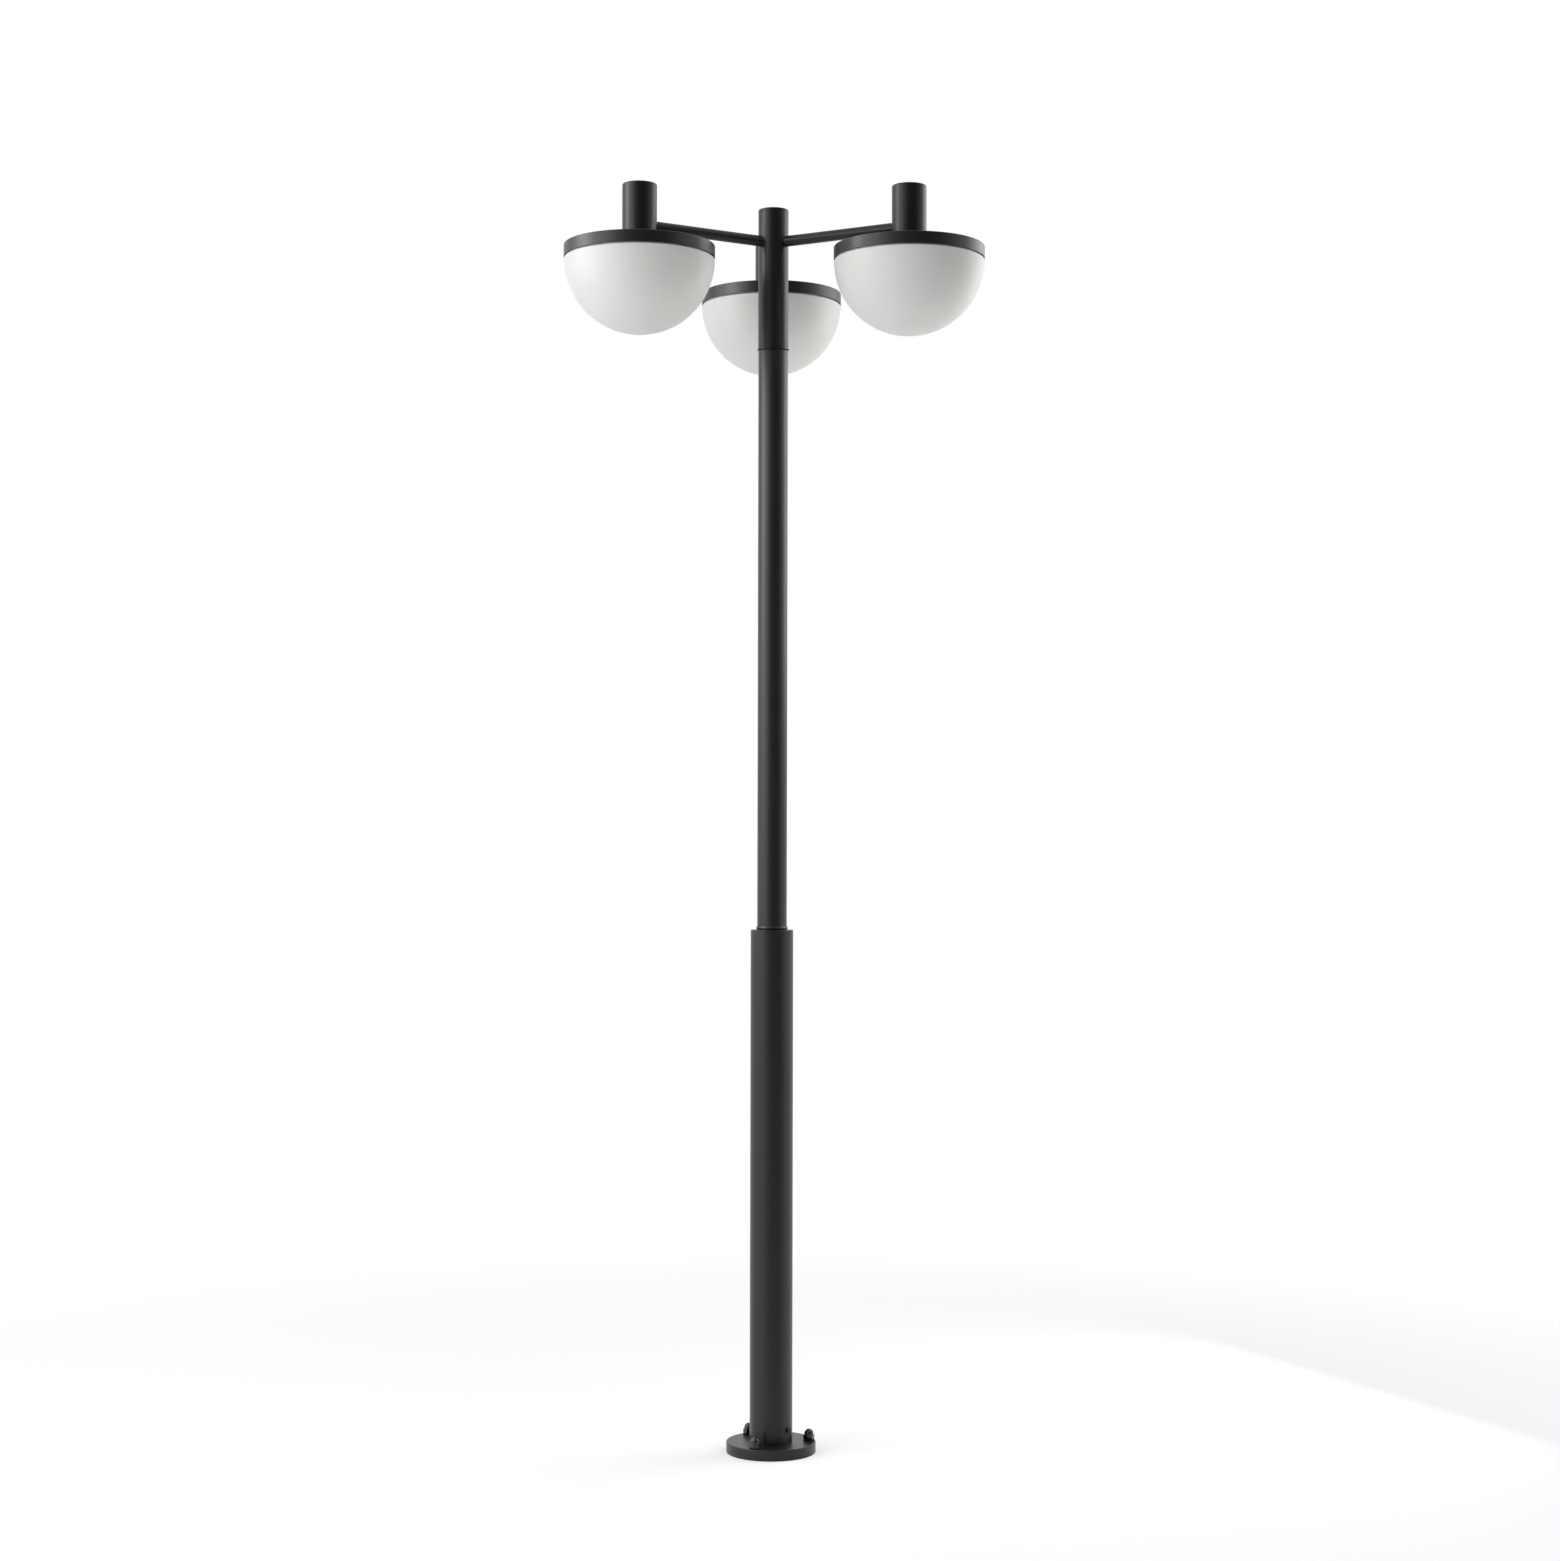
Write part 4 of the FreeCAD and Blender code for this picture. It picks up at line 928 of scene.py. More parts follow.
# ---------------------------------------------------------------- the post
@dataclass
class Post:
    """The two tubes, the shoulder, the collar, the seal, the hub and the screws of the foot."""

    lower_wall: float = 3.0 * MM
    upper_wall: float = 2.0 * MM
    hub_wall: float = 2.2 * MM
    screw_turn: float = -43.3
    screw_height: float = 42.0 * MM
    screw_band: float = 11.0 * MM
    screw_radius: float = 3.0 * MM
    screw_length: float = 12.0 * MM
    screw_head: float = 5.65 * MM
    screw_sink: float = 0.5 * MM
    socket_depth: float = 2.0 * MM
    socket_flats: float = 4.0 * MM
    socket_bevel: float = 0.9 * MM
    plug_bore: float = 10.0 * MM
    tube_edge: float = 0.25 * MM
    shoulder_edge: float = 0.9 * MM
    collar_edge: float = 0.5 * MM
    collar_slope: float = 3.3 * MM
    collar_skirt: float = 2.0 * MM
    collar_draw: float = 0.9 * MM
    bead: float = 1.8 * MM
    bead_reach: float = 2.2 * MM
    bead_edge: float = 0.85 * MM
    joint_edge: float = 0.3 * MM
    cap_edge: float = 1.7 * MM
    first_arm: float = 90.0
    arm_hole: float = 8.2 * MM
    arm_band: float = 16.0 * MM
    skirt: float = 12.0 * MM
    skirt_wall: float = 2.5 * MM
    boss_radius: float = 3.5 * MM
    boss_place: float = 11.0 * MM
    tap_radius: float = 1.5 * MM
    tap_depth: float = 9.0 * MM

    def build(self) -> None:
        """Makes every piece of the post."""
        self.lower()
        self.screws()
        self.shoulder()
        self.upper()
        self.seal()
        self.hub()

    @staticmethod
    def arm_axis() -> float:
        """Height of the arms' axes."""
        box = Extent.of("arm_1")
        return (box.low.z + box.high.z) / 2

    @classmethod
    def screw_drill(cls) -> Drill:
        """Where the two foot screws' holes are."""
        return Drill(cls.screw_turn, 2, cls.screw_height, cls.screw_band, half_turn=20.0)

    def lower(self) -> None:
        """Lower tube with its two countersunk holes."""
        box = Extent.of("lower_tube")
        radius = box.radius
        cup = self.screw_head + PLAY
        hole = self.screw_radius + 2 * PLAY
        depth = cup - hole
        steps = [(radius, cup, True), (radius - self.screw_sink, cup, False),
                 (radius - self.screw_sink - depth, hole, False), (radius - self.lower_wall, hole, True)]
        shell = Shell("lower_post_tube")
        self.screw_drill().tube(shell, steps, (box.bottom, self.tube_edge), (box.top, self.tube_edge))
        shell.piece("lower_tube", COAT)

    def screws(self) -> None:
        """Countersunk screws: rim, flat face, six-sided socket and cone, carried round the screw's axis."""
        face = Extent.of("lower_tube").radius - self.screw_sink
        angle = circle(72)
        socket = hexagon(self.socket_flats, angle + np.pi / 6)
        full, shank = self.screw_head + 0 * angle, self.screw_radius - PLAY + 0 * angle
        drop = self.screw_head - self.screw_radius
        tip = face - self.screw_length
        rows = [(socket * 0, face - self.socket_depth - 1 * MM), (socket, face - self.socket_depth),
                (socket, face - self.socket_bevel), (socket + self.socket_bevel, face),
                (full - 0.5 * MM, face), (full - 0.12 * MM, face - 0.06 * MM), (full, face - 0.25 * MM),
                (shank, face - drop), (shank, tip + 0.6 * MM), (shank - 0.6 * MM, tip), (shank * 0, tip)]
        grid = np.array([np.stack([x + 0 * angle, r * np.cos(angle), r * np.sin(angle)], axis=-1)
                         for r, x in rows])
        shell = Shell("countersunk_screws")
        for turn in spaced(self.screw_turn, 2):
            shell.add(swung(grid, turn, z=self.screw_height))
        shell.piece("tube_screws", DULL_BLACK_WITH_PAINTED_SHADE)

    def plug(self, name: str, node: str, corners: Sequence[Corner], finish: Finish = COAT) -> None:
        """A bored turned piece from its outline's corners."""
        Shell(name).add(turned(rounded(corners))).piece(node, finish)

    def shoulder(self) -> None:
        """Shoulder cap pressed into the lower tube, and the collar over it."""
        box, tube = Extent.of("shoulder_cap"), Extent.of("lower_tube")
        inner = tube.radius - self.lower_wall - PLAY
        self.plug("shoulder_plug", "shoulder_cap", [
            (self.plug_bore, box.bottom, 0.4 * MM), (inner, box.bottom, 1 * MM), (inner, tube.top, 0),
            (box.radius, tube.top, 0.2 * MM), (box.radius, box.top, self.shoulder_edge),
            (self.plug_bore, box.top, 0.4 * MM)])
        ring, stem = Extent.of("shoulder_collar"), Extent.of("upper_tube")
        bore = stem.radius + 0.2 * MM
        self.plug("post_collar", "shoulder_collar", [
            (bore, ring.bottom, 0), (ring.radius - self.collar_draw, ring.bottom, 0.2 * MM),
            (ring.radius, ring.bottom + self.collar_skirt, self.collar_edge),
            (ring.radius, ring.top - self.collar_slope, self.collar_edge),
            (bore + 0.3 * MM, ring.top, 0.15 * MM), (bore, ring.top, 0)])

    def upper(self) -> None:
        """Plain upper tube with softened ends."""
        box = Extent.of("upper_tube")
        inner = box.radius - self.upper_wall
        self.plug("upper_post_tube", "upper_tube", [
            (inner, box.bottom, 0.3 * MM), (box.radius, box.bottom, 0.3 * MM),
            (box.radius, box.top, 0.4 * MM), (inner, box.top, 0.4 * MM)])

    def seal(self) -> None:
        """Seal ring: a flush band with a rounded bead of rubber, whose height follows SqueezedSeal.line."""
        box, tube, hub = Extent.of("seal_ring"), Extent.of("upper_tube"), Extent.of("hub_tube")
        inner = 2 * tube.radius - box.radius
        half, reach, edge = self.bead / 2, tube.radius + self.bead_reach, self.bead_edge
        low, high = box.bottom + 0.1 * MM, box.top - half - 0.5 * MM
        rings = [turned(rounded([
            (inner, box.bottom, 0.6 * MM), (tube.radius, box.bottom, 0), (tube.radius, place - half, 0),
            (reach, place - half, edge), (reach, place + half, edge), (hub.radius, place + half, 0),
            (hub.radius, box.top, 0), (inner, box.top, 0.6 * MM)])) for place in (low, high)]
        front = np.maximum(-np.sin(circle(ROUND)), 0)[:, None]
        # The band takes the head coat's darker tone and lower gloss, which is painted shade.
        finish = SqueezedSeal("rubber", PAINTED_SHADE_HEAD_COAT.colour, PAINTED_SHADE_HEAD_COAT.roughness, low=low, high=high, half=half)
        Shell("seal_rubber").add(rings[0] * front + rings[1] * (1 - front)).piece("seal_ring", finish)

    def hub(self) -> None:
        """Hub foot, hub tube with its arm holes, and the push-in cap."""
        foot, tube, cap = Extent.of("hub_plug"), Extent.of("hub_tube"), Extent.of("hub_cap")
        inner = tube.radius - self.hub_wall - PLAY
        self.plug("hub_foot", "hub_plug", finish=PAINTED_SHADE_HEAD_COAT, corners=[
            (self.plug_bore, foot.bottom, 0.3 * MM), (tube.radius, foot.bottom, 0.8 * MM),
            (tube.radius, tube.bottom, self.joint_edge), (inner, tube.bottom, 0), (inner, foot.top, 1 * MM),
            (self.plug_bore, foot.top, 0.5 * MM)])
        steps = [(tube.radius, self.arm_hole, True), (tube.radius - self.hub_wall, self.arm_hole, True)]
        shell = Shell("hub_post_tube")
        Drill(self.first_arm, len(HEADS), self.arm_axis(), self.arm_band).tube(
            shell, steps, (tube.bottom, self.joint_edge), (tube.top, 0.5 * MM))
        shell.piece("hub_tube", PAINTED_SHADE_HEAD_COAT)
        self.cap(tube, cap, inner)

    def cap(self, tube: Extent, cap: Extent, inner: float) -> None:
        """Cap with a rounded brow, its skirt, and the two bored bosses of the terminal block.

        Args:
            tube: The hub tube's extent.
            cap: The cap's extent.
            inner: The skirt's outer radius.
        """
        room = inner - self.skirt_wall
        outline = rounded([
            (room, tube.top, 0), (room, tube.top - self.skirt, 0.5 * MM),
            (inner, tube.top - self.skirt, 0.8 * MM), (inner, tube.top, 0),
            (cap.radius, tube.top, 0.5 * MM), (cap.radius, cap.top, self.cap_edge), (0.0, cap.top, 0)],
            closed=False)
        shell = Shell("hub_cap_lid")
        shell.add(turned(outline))
        bosses = Pierced(0.0, 2, self.boss_place, self.boss_radius, 0.0, room, 90.0)
        bosses.face(shell, tube.top)
        tap, depth, bevel = self.tap_radius, self.tap_depth, 0.4 * MM
        bosses.wall(shell, [
            (self.boss_radius, tube.top), (self.boss_radius, cap.bottom + bevel),
            (self.boss_radius - bevel, cap.bottom), (tap, cap.bottom), (tap, cap.bottom + depth),
            (0.0, cap.bottom + depth)])
        shell.piece("hub_cap", PAINTED_SHADE_HEAD_COAT)


# ---------------------------------------------------------------- the arms and heads
@dataclass
class Head:
    """One arm with its hanging head."""

    number: int
    arm_thread: float = 8.0 * MM
    arm_bore: float = 5.75 * MM
    arm_band: float = 15.0 * MM
    nut_flats: float = 22.0 * MM
    nut_height: float = 5.0 * MM
    thread_proud: float = 1.0 * MM
    housing_wall: float = 2.0 * MM
    housing_edge: float = 2.4 * MM
    foot_ring: float = 21.7 * MM
    foot_ring_height: float = 8.0 * MM
    bore_edge: float = 0.3 * MM
    screw_circle: float = 25.75 * MM
    tap_radius: float = 2.0 * MM
    tap_depth: float = 7.0 * MM
    screw_hole: float = 2.2 * MM
    pierced_to: float = 34.0 * MM
    rim_wall: float = 1.6 * MM
    plate: float = 2.0 * MM
    canopy_edge: float = 1.3 * MM
    lip_edge: float = 0.6 * MM
    neck_radius: float = 124.5 * MM
    bowl_wall: float = 3.0 * MM
    bowl_edge: float = 3.0 * MM
    catches: int = 3
    ledge_rise: float = 3.5 * MM
    ledge_thickness: float = 2.0 * MM
    ledge_depth: float = 3.1 * MM
    ledge_arc: float = 20.0
    catch_root: float = 0.3 * MM
    stop_height: float = 3.6 * MM
    stop_turn: float = 9.6
    stop_arc: float = 1.6
    lug_play: float = 0.3 * MM
    lug_thickness: float = 3.0 * MM
    lug_arc: float = 18.0
    axis: tuple[float, float] = field(init=False)
    azimuth: float = field(init=False)
    arm_height: float = field(init=False)

    def __post_init__(self) -> None:
        """Reads the head's axis, its azimuth and the arm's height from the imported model."""
        self.axis = self.box("canopy").centre
        self.azimuth = math.degrees(math.atan2(self.axis[1], self.axis[0]))
        self.arm_height = Post.arm_axis()

    def node(self, name: str) -> str:
        """A node's name with this head's number."""
        return "%s_%d" % (name, self.number)

    def box(self, name: str) -> Extent:
        """The extent of one of this head's nodes."""
        return Extent.of(self.node(name))

    def build(self) -> None:
        """Makes the arm, the housing, the canopy and the bowl."""
        self.arm()
        self.housing()
        self.canopy()
        self.bowl()

    def thread_end(self, bore: float) -> float:
        """Distance of a thread's end from the axis: the nut's corners touch the bore, and it stands proud."""
        corner = self.nut_flats / math.sqrt(3)
        return math.sqrt(bore ** 2 - corner ** 2) - self.nut_height - self.thread_proud

    def arm(self) -> None:
        """Round arm: rings (x, r cos a, r sin a) whose x follows the hub's or the housing's wall.

        A ring on a round wall of radius R has x = sqrt(R^2 - y^2), so that the arm's end is coped.
        """
        hub, can = Extent.of("hub_tube").radius, self.box("head_housing").radius
        reach = math.hypot(*self.axis)
        box = self.box("arm")
        outer = (box.top - box.bottom) / 2
        hub_end = self.thread_end(hub - Post.hub_wall)
        can_end = reach - self.thread_end(can - self.housing_wall)
        angle = circle(96)

        def ring(radius: float, at: str, inset: float = 0.0) -> Array:
            """One ring on the hub's wall, on the housing's wall, or flat at a thread's end."""
            y, z = radius * np.cos(angle), radius * np.sin(angle)
            x = {"hub": np.sqrt(hub ** 2 - y ** 2) + inset, "can": reach - np.sqrt(can ** 2 - y ** 2) - inset,
                 "hub_end": hub_end + inset + 0 * y, "can_end": can_end - inset + 0 * y}[at]
            return np.stack([x, y, z], axis=-1)

        bevel = 0.25 * MM
        rings = [ring(self.arm_bore, "hub_end"), ring(self.arm_thread - bevel, "hub_end"),
                 ring(self.arm_thread, "hub_end", bevel), ring(self.arm_thread, "hub"),
                 ring(outer - bevel, "hub"), ring(outer, "hub", bevel), ring(outer, "can", bevel),
                 ring(outer - bevel, "can"), ring(self.arm_thread, "can"),
                 ring(self.arm_thread, "can_end", bevel), ring(self.arm_thread - bevel, "can_end"),
                 ring(self.arm_bore, "can_end"), ring(self.arm_bore, "hub_end")]
        shell = Shell(self.node("round_arm"))
        shell.add(swung(np.array(rings), self.azimuth, z=self.arm_height))
        shell.piece(self.node("arm"), PAINTED_SHADE_HEAD_COAT)

    def screw_holes(self, radius: float, outer: float, columns: int) -> Pierced:
        """The three canopy screws' holes in a ring round the head's axis."""
        return Pierced(self.azimuth, 3, self.screw_circle, radius, self.foot_ring + self.bore_edge, outer,
                       15.0, self.axis, columns)

    def housing(self) -> None:
        """Closed can with a rounded top edge, its inner foot ring with taps, and the arm's hole."""
        box = self.box("head_housing")
        outer, inner = box.radius, box.radius - self.housing_wall
        hole, edge = Post.arm_hole, self.bore_edge
        drill = Drill(self.azimuth + 180.0, 1, self.arm_height, self.arm_band)
        roof = box.top - self.housing_wall
        above = rounded([(0.0, roof, 0), (inner, roof, 0.8 * MM), (inner, drill.high, 0)], closed=False)
        over = rounded([(outer, drill.high, 0), (outer, box.top, self.housing_edge), (0.0, box.top, 0)],
                       closed=False, steps=8)
        wall = rounded([(outer, drill.low, 0), (outer, box.bottom, edge), (outer - edge, box.bottom, 0)],
                       closed=False)
        step = box.bottom + self.foot_ring_height
        ring = rounded([(self.foot_ring + edge, box.bottom, 0), (self.foot_ring, box.bottom, edge),
                        (self.foot_ring, step, 0.4 * MM), (inner, step, 0.4 * MM), (inner, drill.low, 0)],
                       closed=False)
        shell = Shell(self.node("housing_can"))
        for outline in (above, over, wall, ring):
            shell.add(turned(outline, self.axis, drill.azimuth))
        drill.through(shell, [(outer, hole, True), (inner, hole, True)], self.axis)
        taps = self.screw_holes(self.tap_radius, outer - edge, ROUND)
        taps.face(shell, box.bottom)
        depth = box.bottom + self.tap_depth
        taps.wall(shell, [(self.tap_radius, box.bottom), (self.tap_radius, depth), (0.0, depth)])
        shell.piece(self.node("head_housing"), PAINTED_SHADE_HEAD_COAT)

    def catch(self, inner: float, outer: float, low: float, high: float, start: float, sweep: float) -> Array:
        """A block of a ring: its four-sided section carried through an arc, closed at both ends.

        Args:
            inner: Inner radius.
            outer: Outer radius.
            low: Lower height.
            high: Upper height.
            start: Where the arc starts, in degrees from the arm's direction.
            sweep: The arc in degrees.

        Returns:
            A grid, section by arc, whose first and last columns are drawn in to a point.
        """
        section = np.array([[inner, low], [outer, low], [outer, high], [inner, high], [inner, low]])
        middle = section[:4].mean(axis=0)
        angle = np.radians(self.azimuth + start + np.linspace(0, sweep, 17))
        angle = np.concatenate([angle[:1], angle, angle[-1:]])
        draw = np.ones(len(angle))
        draw[[0, -1]] = 0.0
        flat = middle + (section[:, None] - middle) * draw[None, :, None]
        return around(flat[..., 0], angle, flat[..., 1], self.axis)

    def canopy(self) -> None:
        """Flat dish with a down-turned band, its ledges and stops for the bowl."""
        box = self.box("canopy")
        outer, inner = box.radius, box.radius - self.rim_wall
        under = box.top - self.plate
        bore, edge = self.foot_ring, self.bore_edge
        dish = rounded([(self.pierced_to, under, 0), (inner, under, 0.6 * MM),
                        (inner, box.bottom, self.lip_edge), (outer, box.bottom, self.lip_edge),
                        (outer, box.top, self.canopy_edge), (self.pierced_to, box.top, 0)],
                       closed=False, steps=5)
        mouth = rounded([(bore + edge, box.top, 0), (bore, box.top, edge), (bore, under, edge),
                         (bore + edge, under, 0)], closed=False, steps=3)
        shell = Shell(self.node("canopy_dish"))
        for part in (dish, mouth):
            shell.add(turned(part, self.axis, self.azimuth, 2 * ROUND))
        self.screw_holes(self.screw_hole, self.pierced_to, 2 * ROUND).through(shell, under, box.top)
        low, high = box.bottom + self.ledge_rise, box.bottom + self.ledge_rise + self.ledge_thickness
        tip, root = inner - self.ledge_depth, inner + self.catch_root
        for middle in spaced(0.0, self.catches):
            shell.add(self.catch(tip, root, low, high, middle - self.ledge_arc / 2, self.ledge_arc),
                      loop=False)
            shell.add(self.catch(tip, root, high - self.catch_root, high + self.stop_height,
                                 middle + self.stop_turn, self.stop_arc), loop=False)
        shell.piece(self.node("canopy"), COAT)

    def bowl(self) -> None:
        """Opal half sphere: outer sphere, rounded shoulder, neck and lugs, inner sphere."""
        box = self.box("bowl")
        outer, inner = box.radius, box.radius - self.bowl_wall
        centre = box.bottom + outer
        neck_bore = self.neck_radius - self.bowl_wall
        edge = self.bowl_edge
        tilt = math.degrees(math.asin(edge / (outer - edge)))
        reach = (outer - edge) * math.cos(math.radians(tilt))
        sphere = arc((0.0, centre), outer, -90, -tilt, 72)
        shoulder = arc((reach, centre - edge), edge, -tilt, 90, 10)
        neck = rounded([(reach, centre, 0), (self.neck_radius, centre, 0.6 * MM),
                        (self.neck_radius, box.top, 0.8 * MM), (neck_bore, box.top, 0.8 * MM),
                        (neck_bore, centre, 0)], closed=False, steps=4)[1:-1]
        drop = math.degrees(math.acos(neck_bore / inner))
        room = arc((0.0, centre), inner, -drop, -90, 64)
        outline = np.concatenate([sphere, shoulder[1:], neck, room])
        shell = Shell(self.node("opal_bowl"))
        shell.add(turned(outline, self.axis, columns=2 * ROUND))
        low = self.box("canopy").bottom + self.ledge_rise + self.ledge_thickness + self.lug_play
        for middle in spaced(0.0, self.catches):
            shell.add(self.catch(self.neck_radius - self.bowl_wall / 2, self.neck_radius + self.ledge_depth,
                                 low, low + self.lug_thickness, middle - self.lug_arc / 2, self.lug_arc),
                      loop=False)
        shell.piece(self.node("bowl"), OPAL, Body.DIFFUSER.of(self.number))


# ---------------------------------------------------------------- the inner pieces
class InnerPieces:
    """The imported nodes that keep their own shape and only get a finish."""

    finishes: dict[Finish, tuple[str, ...]] = {
        ZINC: ("stem_foot_plug", "stem_top_plug", "lower_nipple", "upper_nipple", "terminal_screws",
               "hub_arm_nuts", "hub_saddles", "head_arm_nuts", "head_saddles", "canopy_screws",
               "holder_screws", "holder_bracket_%d"),
        BRASS: ("earth_screw", "holder_contacts"),
        NYLON: ("terminal_block",),
        SHEATH: ("head_lead_%d",),
        SEAL: ("bowl_gasket_%d",),
        PORCELAIN: ("lampholder_%d",),
        NICKEL: ("bulb_cap_%d",),
        GLOBE: ("bulb_globe_%d",),
    }

    def build(self) -> None:
        """Dresses each node."""
        for finish, names in self.finishes.items():
            for name in (full for name in names for full in numbered(name)):
                node = frame["nodes"][name]
                node.data.materials.clear()
                node.data.materials.append(finish.material())
                log.info("%s: keeps its packed shape", name)


# ---------------------------------------------------------------- studio
@dataclass(frozen=True)
class Softbox:
    """A flat lamp that stands round the post at an angle from the camera's side."""

    name: str
    bearing: float
    distance: float
    width: float
    height: float
    middle: float
    radiance: float
    tint: Colour = (1.0, 1.0, 1.0)
    aim: float = 1.6
    matte: bool = True
    gloss: bool = True

    def build(self) -> None:
        """Adds the lamp: its power is pi * area * radiance."""
        data = bpy.data.lights.new(self.name, "AREA")
        data.shape = "RECTANGLE"
        data.size, data.size_y = self.width, self.height
        data.energy = math.pi * self.width * self.height * self.radiance
        data.color = self.tint
        lamp = placed(self.name, data)
        bearing = math.radians(self.bearing)
        lamp.location = (math.sin(bearing) * self.distance, -math.cos(bearing) * self.distance, self.middle)
        back = lamp.location - Vector((0.0, 0.0, self.aim))
        lamp.rotation_euler = back.to_track_quat("Z", "Y").to_euler()
        lamp.visible_diffuse, lamp.visible_glossy = self.matte, self.gloss


@dataclass
class Studio:
    """Pale floor and surroundings, softboxes and the camera."""

    ambient: float = 0.385
    dim_bearing: float = 18.0
    dim_core: float = 25.0
    dim_edge: float = 62.0
    dim_level: float = 0.12
    floor_dim_level: float = 0.45
    floor_colour: Colour = (0.86, 0.86, 0.86)
    floor_glow: float = 0.45
    floor_radius: float = 9.0
    floor_near: float = 0.6
    floor_fade: float = 1.6
    boxes: tuple[Softbox, ...] = (
        Softbox("left_light", -62.0, 2.6, 3.2, 3.2, 1.5, 1.6, (0.955, 0.975, 1.0), gloss=False),
        Softbox("left_sheen", -74.0, 2.6, 3.2, 2.5, 2.2, 1.5, matte=False),
        Softbox("left_strip", -79.0, 1.2, 0.36, 1.2, 2.1, 4.0, matte=False),
        Softbox("right_light", 114.0, 1.5, 1.1, 2.6, 1.4, 1.8, gloss=False),
        Softbox("right_sheen", 114.0, 1.5, 1.1, 1.4, 2.1, 2.1, matte=False),
    )
    camera_place: tuple[float, float, float] = (-0.06171, -4.70006, 1.07590)
    camera_heading: float = 0.9180
    camera_pitch: float = 1.2371
    camera_roll: float = 0.1171
    focal_pixels: float = 2665.39
    frame_pixels: float = 1561.0
    sensor: float = 36.0

    def build(self) -> None:
        """Makes the camera, the surroundings, the floor and the lamps."""
        self.camera()
        self.surroundings()
        self.floor()
        for box in self.boxes:
            box.build()
        bpy.context.scene.view_settings.view_transform = "Standard"

    def camera(self) -> None:
        """The photograph's camera: heading from +Y to +X, pitch upwards, roll that leans the post right."""
        heading, pitch, roll = (math.radians(value) for value in
                                (self.camera_heading, self.camera_pitch, self.camera_roll))
        ahead = Vector((math.sin(heading) * math.cos(pitch), math.cos(heading) * math.cos(pitch),
                        math.sin(pitch)))
        level = Vector((math.cos(heading), -math.sin(heading), 0.0))
        upright = level.cross(ahead)
        right = level * math.cos(roll) + upright * math.sin(roll)
        up = upright * math.cos(roll) - level * math.sin(roll)
        data = bpy.data.cameras.new("photo_camera")
        data.sensor_width = self.sensor
        data.lens = self.focal_pixels / self.frame_pixels * self.sensor
        data.clip_start, data.clip_end = 0.1, 100.0
        camera = placed("photo_camera", data)
        turn = Matrix((right, up, -ahead)).transposed()
        camera.matrix_world = Matrix.Translation(self.camera_place) @ turn.to_4x4()
        bpy.context.scene.camera = camera

    def seen(self, graph: Graph, direction: Wire, level: float) -> Wire:
        """Brightness that shows a background: 1 for rays straight to the camera and through glass.

        Gloss shows it too, but for a dim part of the room in front of the post, to the right of the
        camera: a smooth step of the dot product of the direction and that part's middle.

        Args:
            graph: The floor's or the world's nodes.
            direction: Where the shaded spot lies, seen from the post.
            level: How bright the dim part is.

        Returns:
            The brightness.
        """
        straight, glossy, through = (graph.wire("ShaderNodeLightPath", output="Is %s Ray" % kind)
                                     for kind in ("Camera", "Glossy", "Transmission"))
        bearing = math.radians(self.dim_bearing)
        toward = graph.wire("ShaderNodeVectorMath", {"operation": "DOT_PRODUCT"}, {
            0: direction, 1: (math.sin(bearing), -math.cos(bearing), 0.0)}, "Value")
        dim = graph.wire("ShaderNodeMapRange", {"interpolation_type": "SMOOTHSTEP"}, {
            "Value": toward, "From Min": math.cos(math.radians(self.dim_edge)),
            "From Max": math.cos(math.radians(self.dim_core)), "To Min": 1.0, "To Max": level})
        return straight.at_least(glossy * dim).at_least(through)

    def surroundings(self) -> None:
        """White to the eye, and an even dimmer light on the object."""
        world = bpy.data.worlds.new("pale_room")
        bpy.context.scene.world = world
        graph = Graph(world)
        direction = graph.wire("ShaderNodeTexCoord", output="Generated")
        strength = self.seen(graph, direction, self.dim_level).at_least(self.ambient * self.dim_level)
        soft = graph.wire("ShaderNodeLightPath", output="Is Diffuse Ray")
        strength = strength.at_least(soft * self.ambient)
        glow = graph.wire("ShaderNodeBackground", inputs={"Color": (1.0, 1.0, 1.0), "Strength": strength})
        graph.node("ShaderNodeOutputWorld", inputs={"Surface": glow})

    def floor(self) -> None:
        """Round pale floor that keeps the shadow near the foot and fades to white further out."""
        rings = np.linspace(0, 1, 25) ** 2 * self.floor_radius
        grid = turned(np.stack([rings, np.zeros_like(rings)], axis=1), columns=96)
        quads = quads_of(*grid.shape[:2], loop=True)[:, ::-1]
        mesh = bpy.data.meshes.new("pale_floor")
        mesh.from_pydata(grid.reshape(-1, 3).tolist(), [], quads.tolist())
        floor = placed("pale_floor", mesh)
        material = bpy.data.materials.new("pale_floor")
        graph = Graph(material)
        places = graph.wire("ShaderNodeTexCoord", output="Object")
        distance = graph.wire("ShaderNodeVectorMath", {"operation": "LENGTH"}, {0: places}, "Value")
        direction = graph.wire("ShaderNodeVectorMath", {"operation": "NORMALIZE"}, {0: places})
        far = ((distance - self.floor_near) / self.floor_fade).at_least(0.0).at_most(1.0)
        seen = self.seen(graph, direction, self.floor_dim_level)
        matte = graph.wire("ShaderNodeBsdfDiffuse", inputs={"Color": self.floor_colour})
        glow = graph.wire("ShaderNodeEmission", inputs={"Color": (1.0, 1.0, 1.0),
                                                        "Strength": seen * self.floor_glow})
        white = graph.wire("ShaderNodeEmission", inputs={"Color": (1.0, 1.0, 1.0), "Strength": seen})
        near = graph.wire("ShaderNodeAddShader", inputs={0: matte, 1: glow})
        lit = 1 - graph.wire("ShaderNodeLightPath", output="Is Diffuse Ray")
        look = graph.wire("ShaderNodeMixShader", inputs={0: far * lit, 1: near, 2: white})
        graph.node("ShaderNodeOutputMaterial", inputs={"Surface": look})
        mesh.materials.append(material)


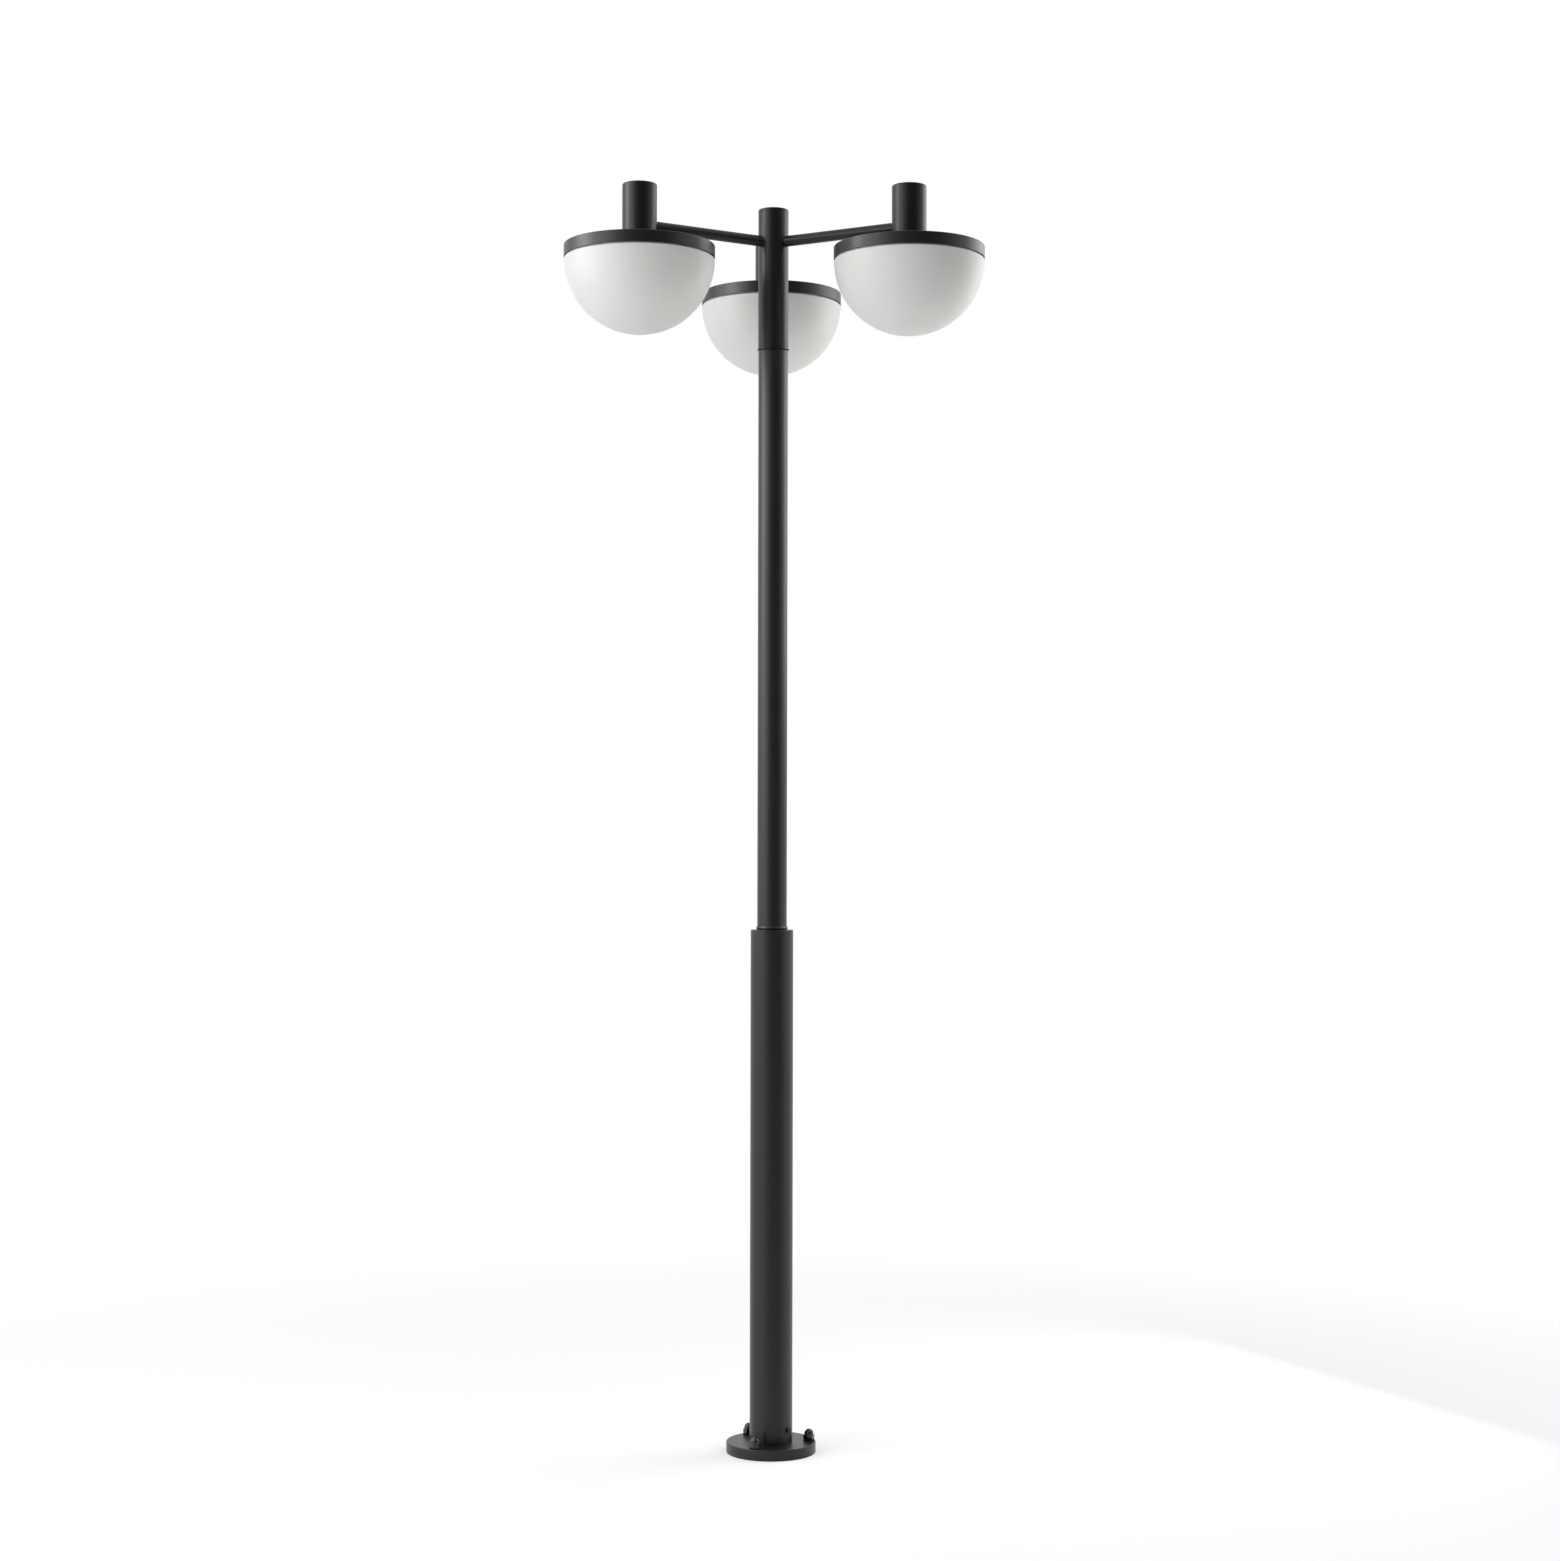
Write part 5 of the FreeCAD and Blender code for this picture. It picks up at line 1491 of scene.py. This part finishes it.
def main() -> None:
    """Builds the studio, the foot, the post, the heads and the inner pieces."""
    logging.basicConfig(level=logging.INFO, format="%(name)s: %(message)s")
    Studio().build()
    Foot().build()
    Post().build()
    for number in HEADS:
        Head(number).build()
    InnerPieces().build()


if __name__ == "__main__":
    main()
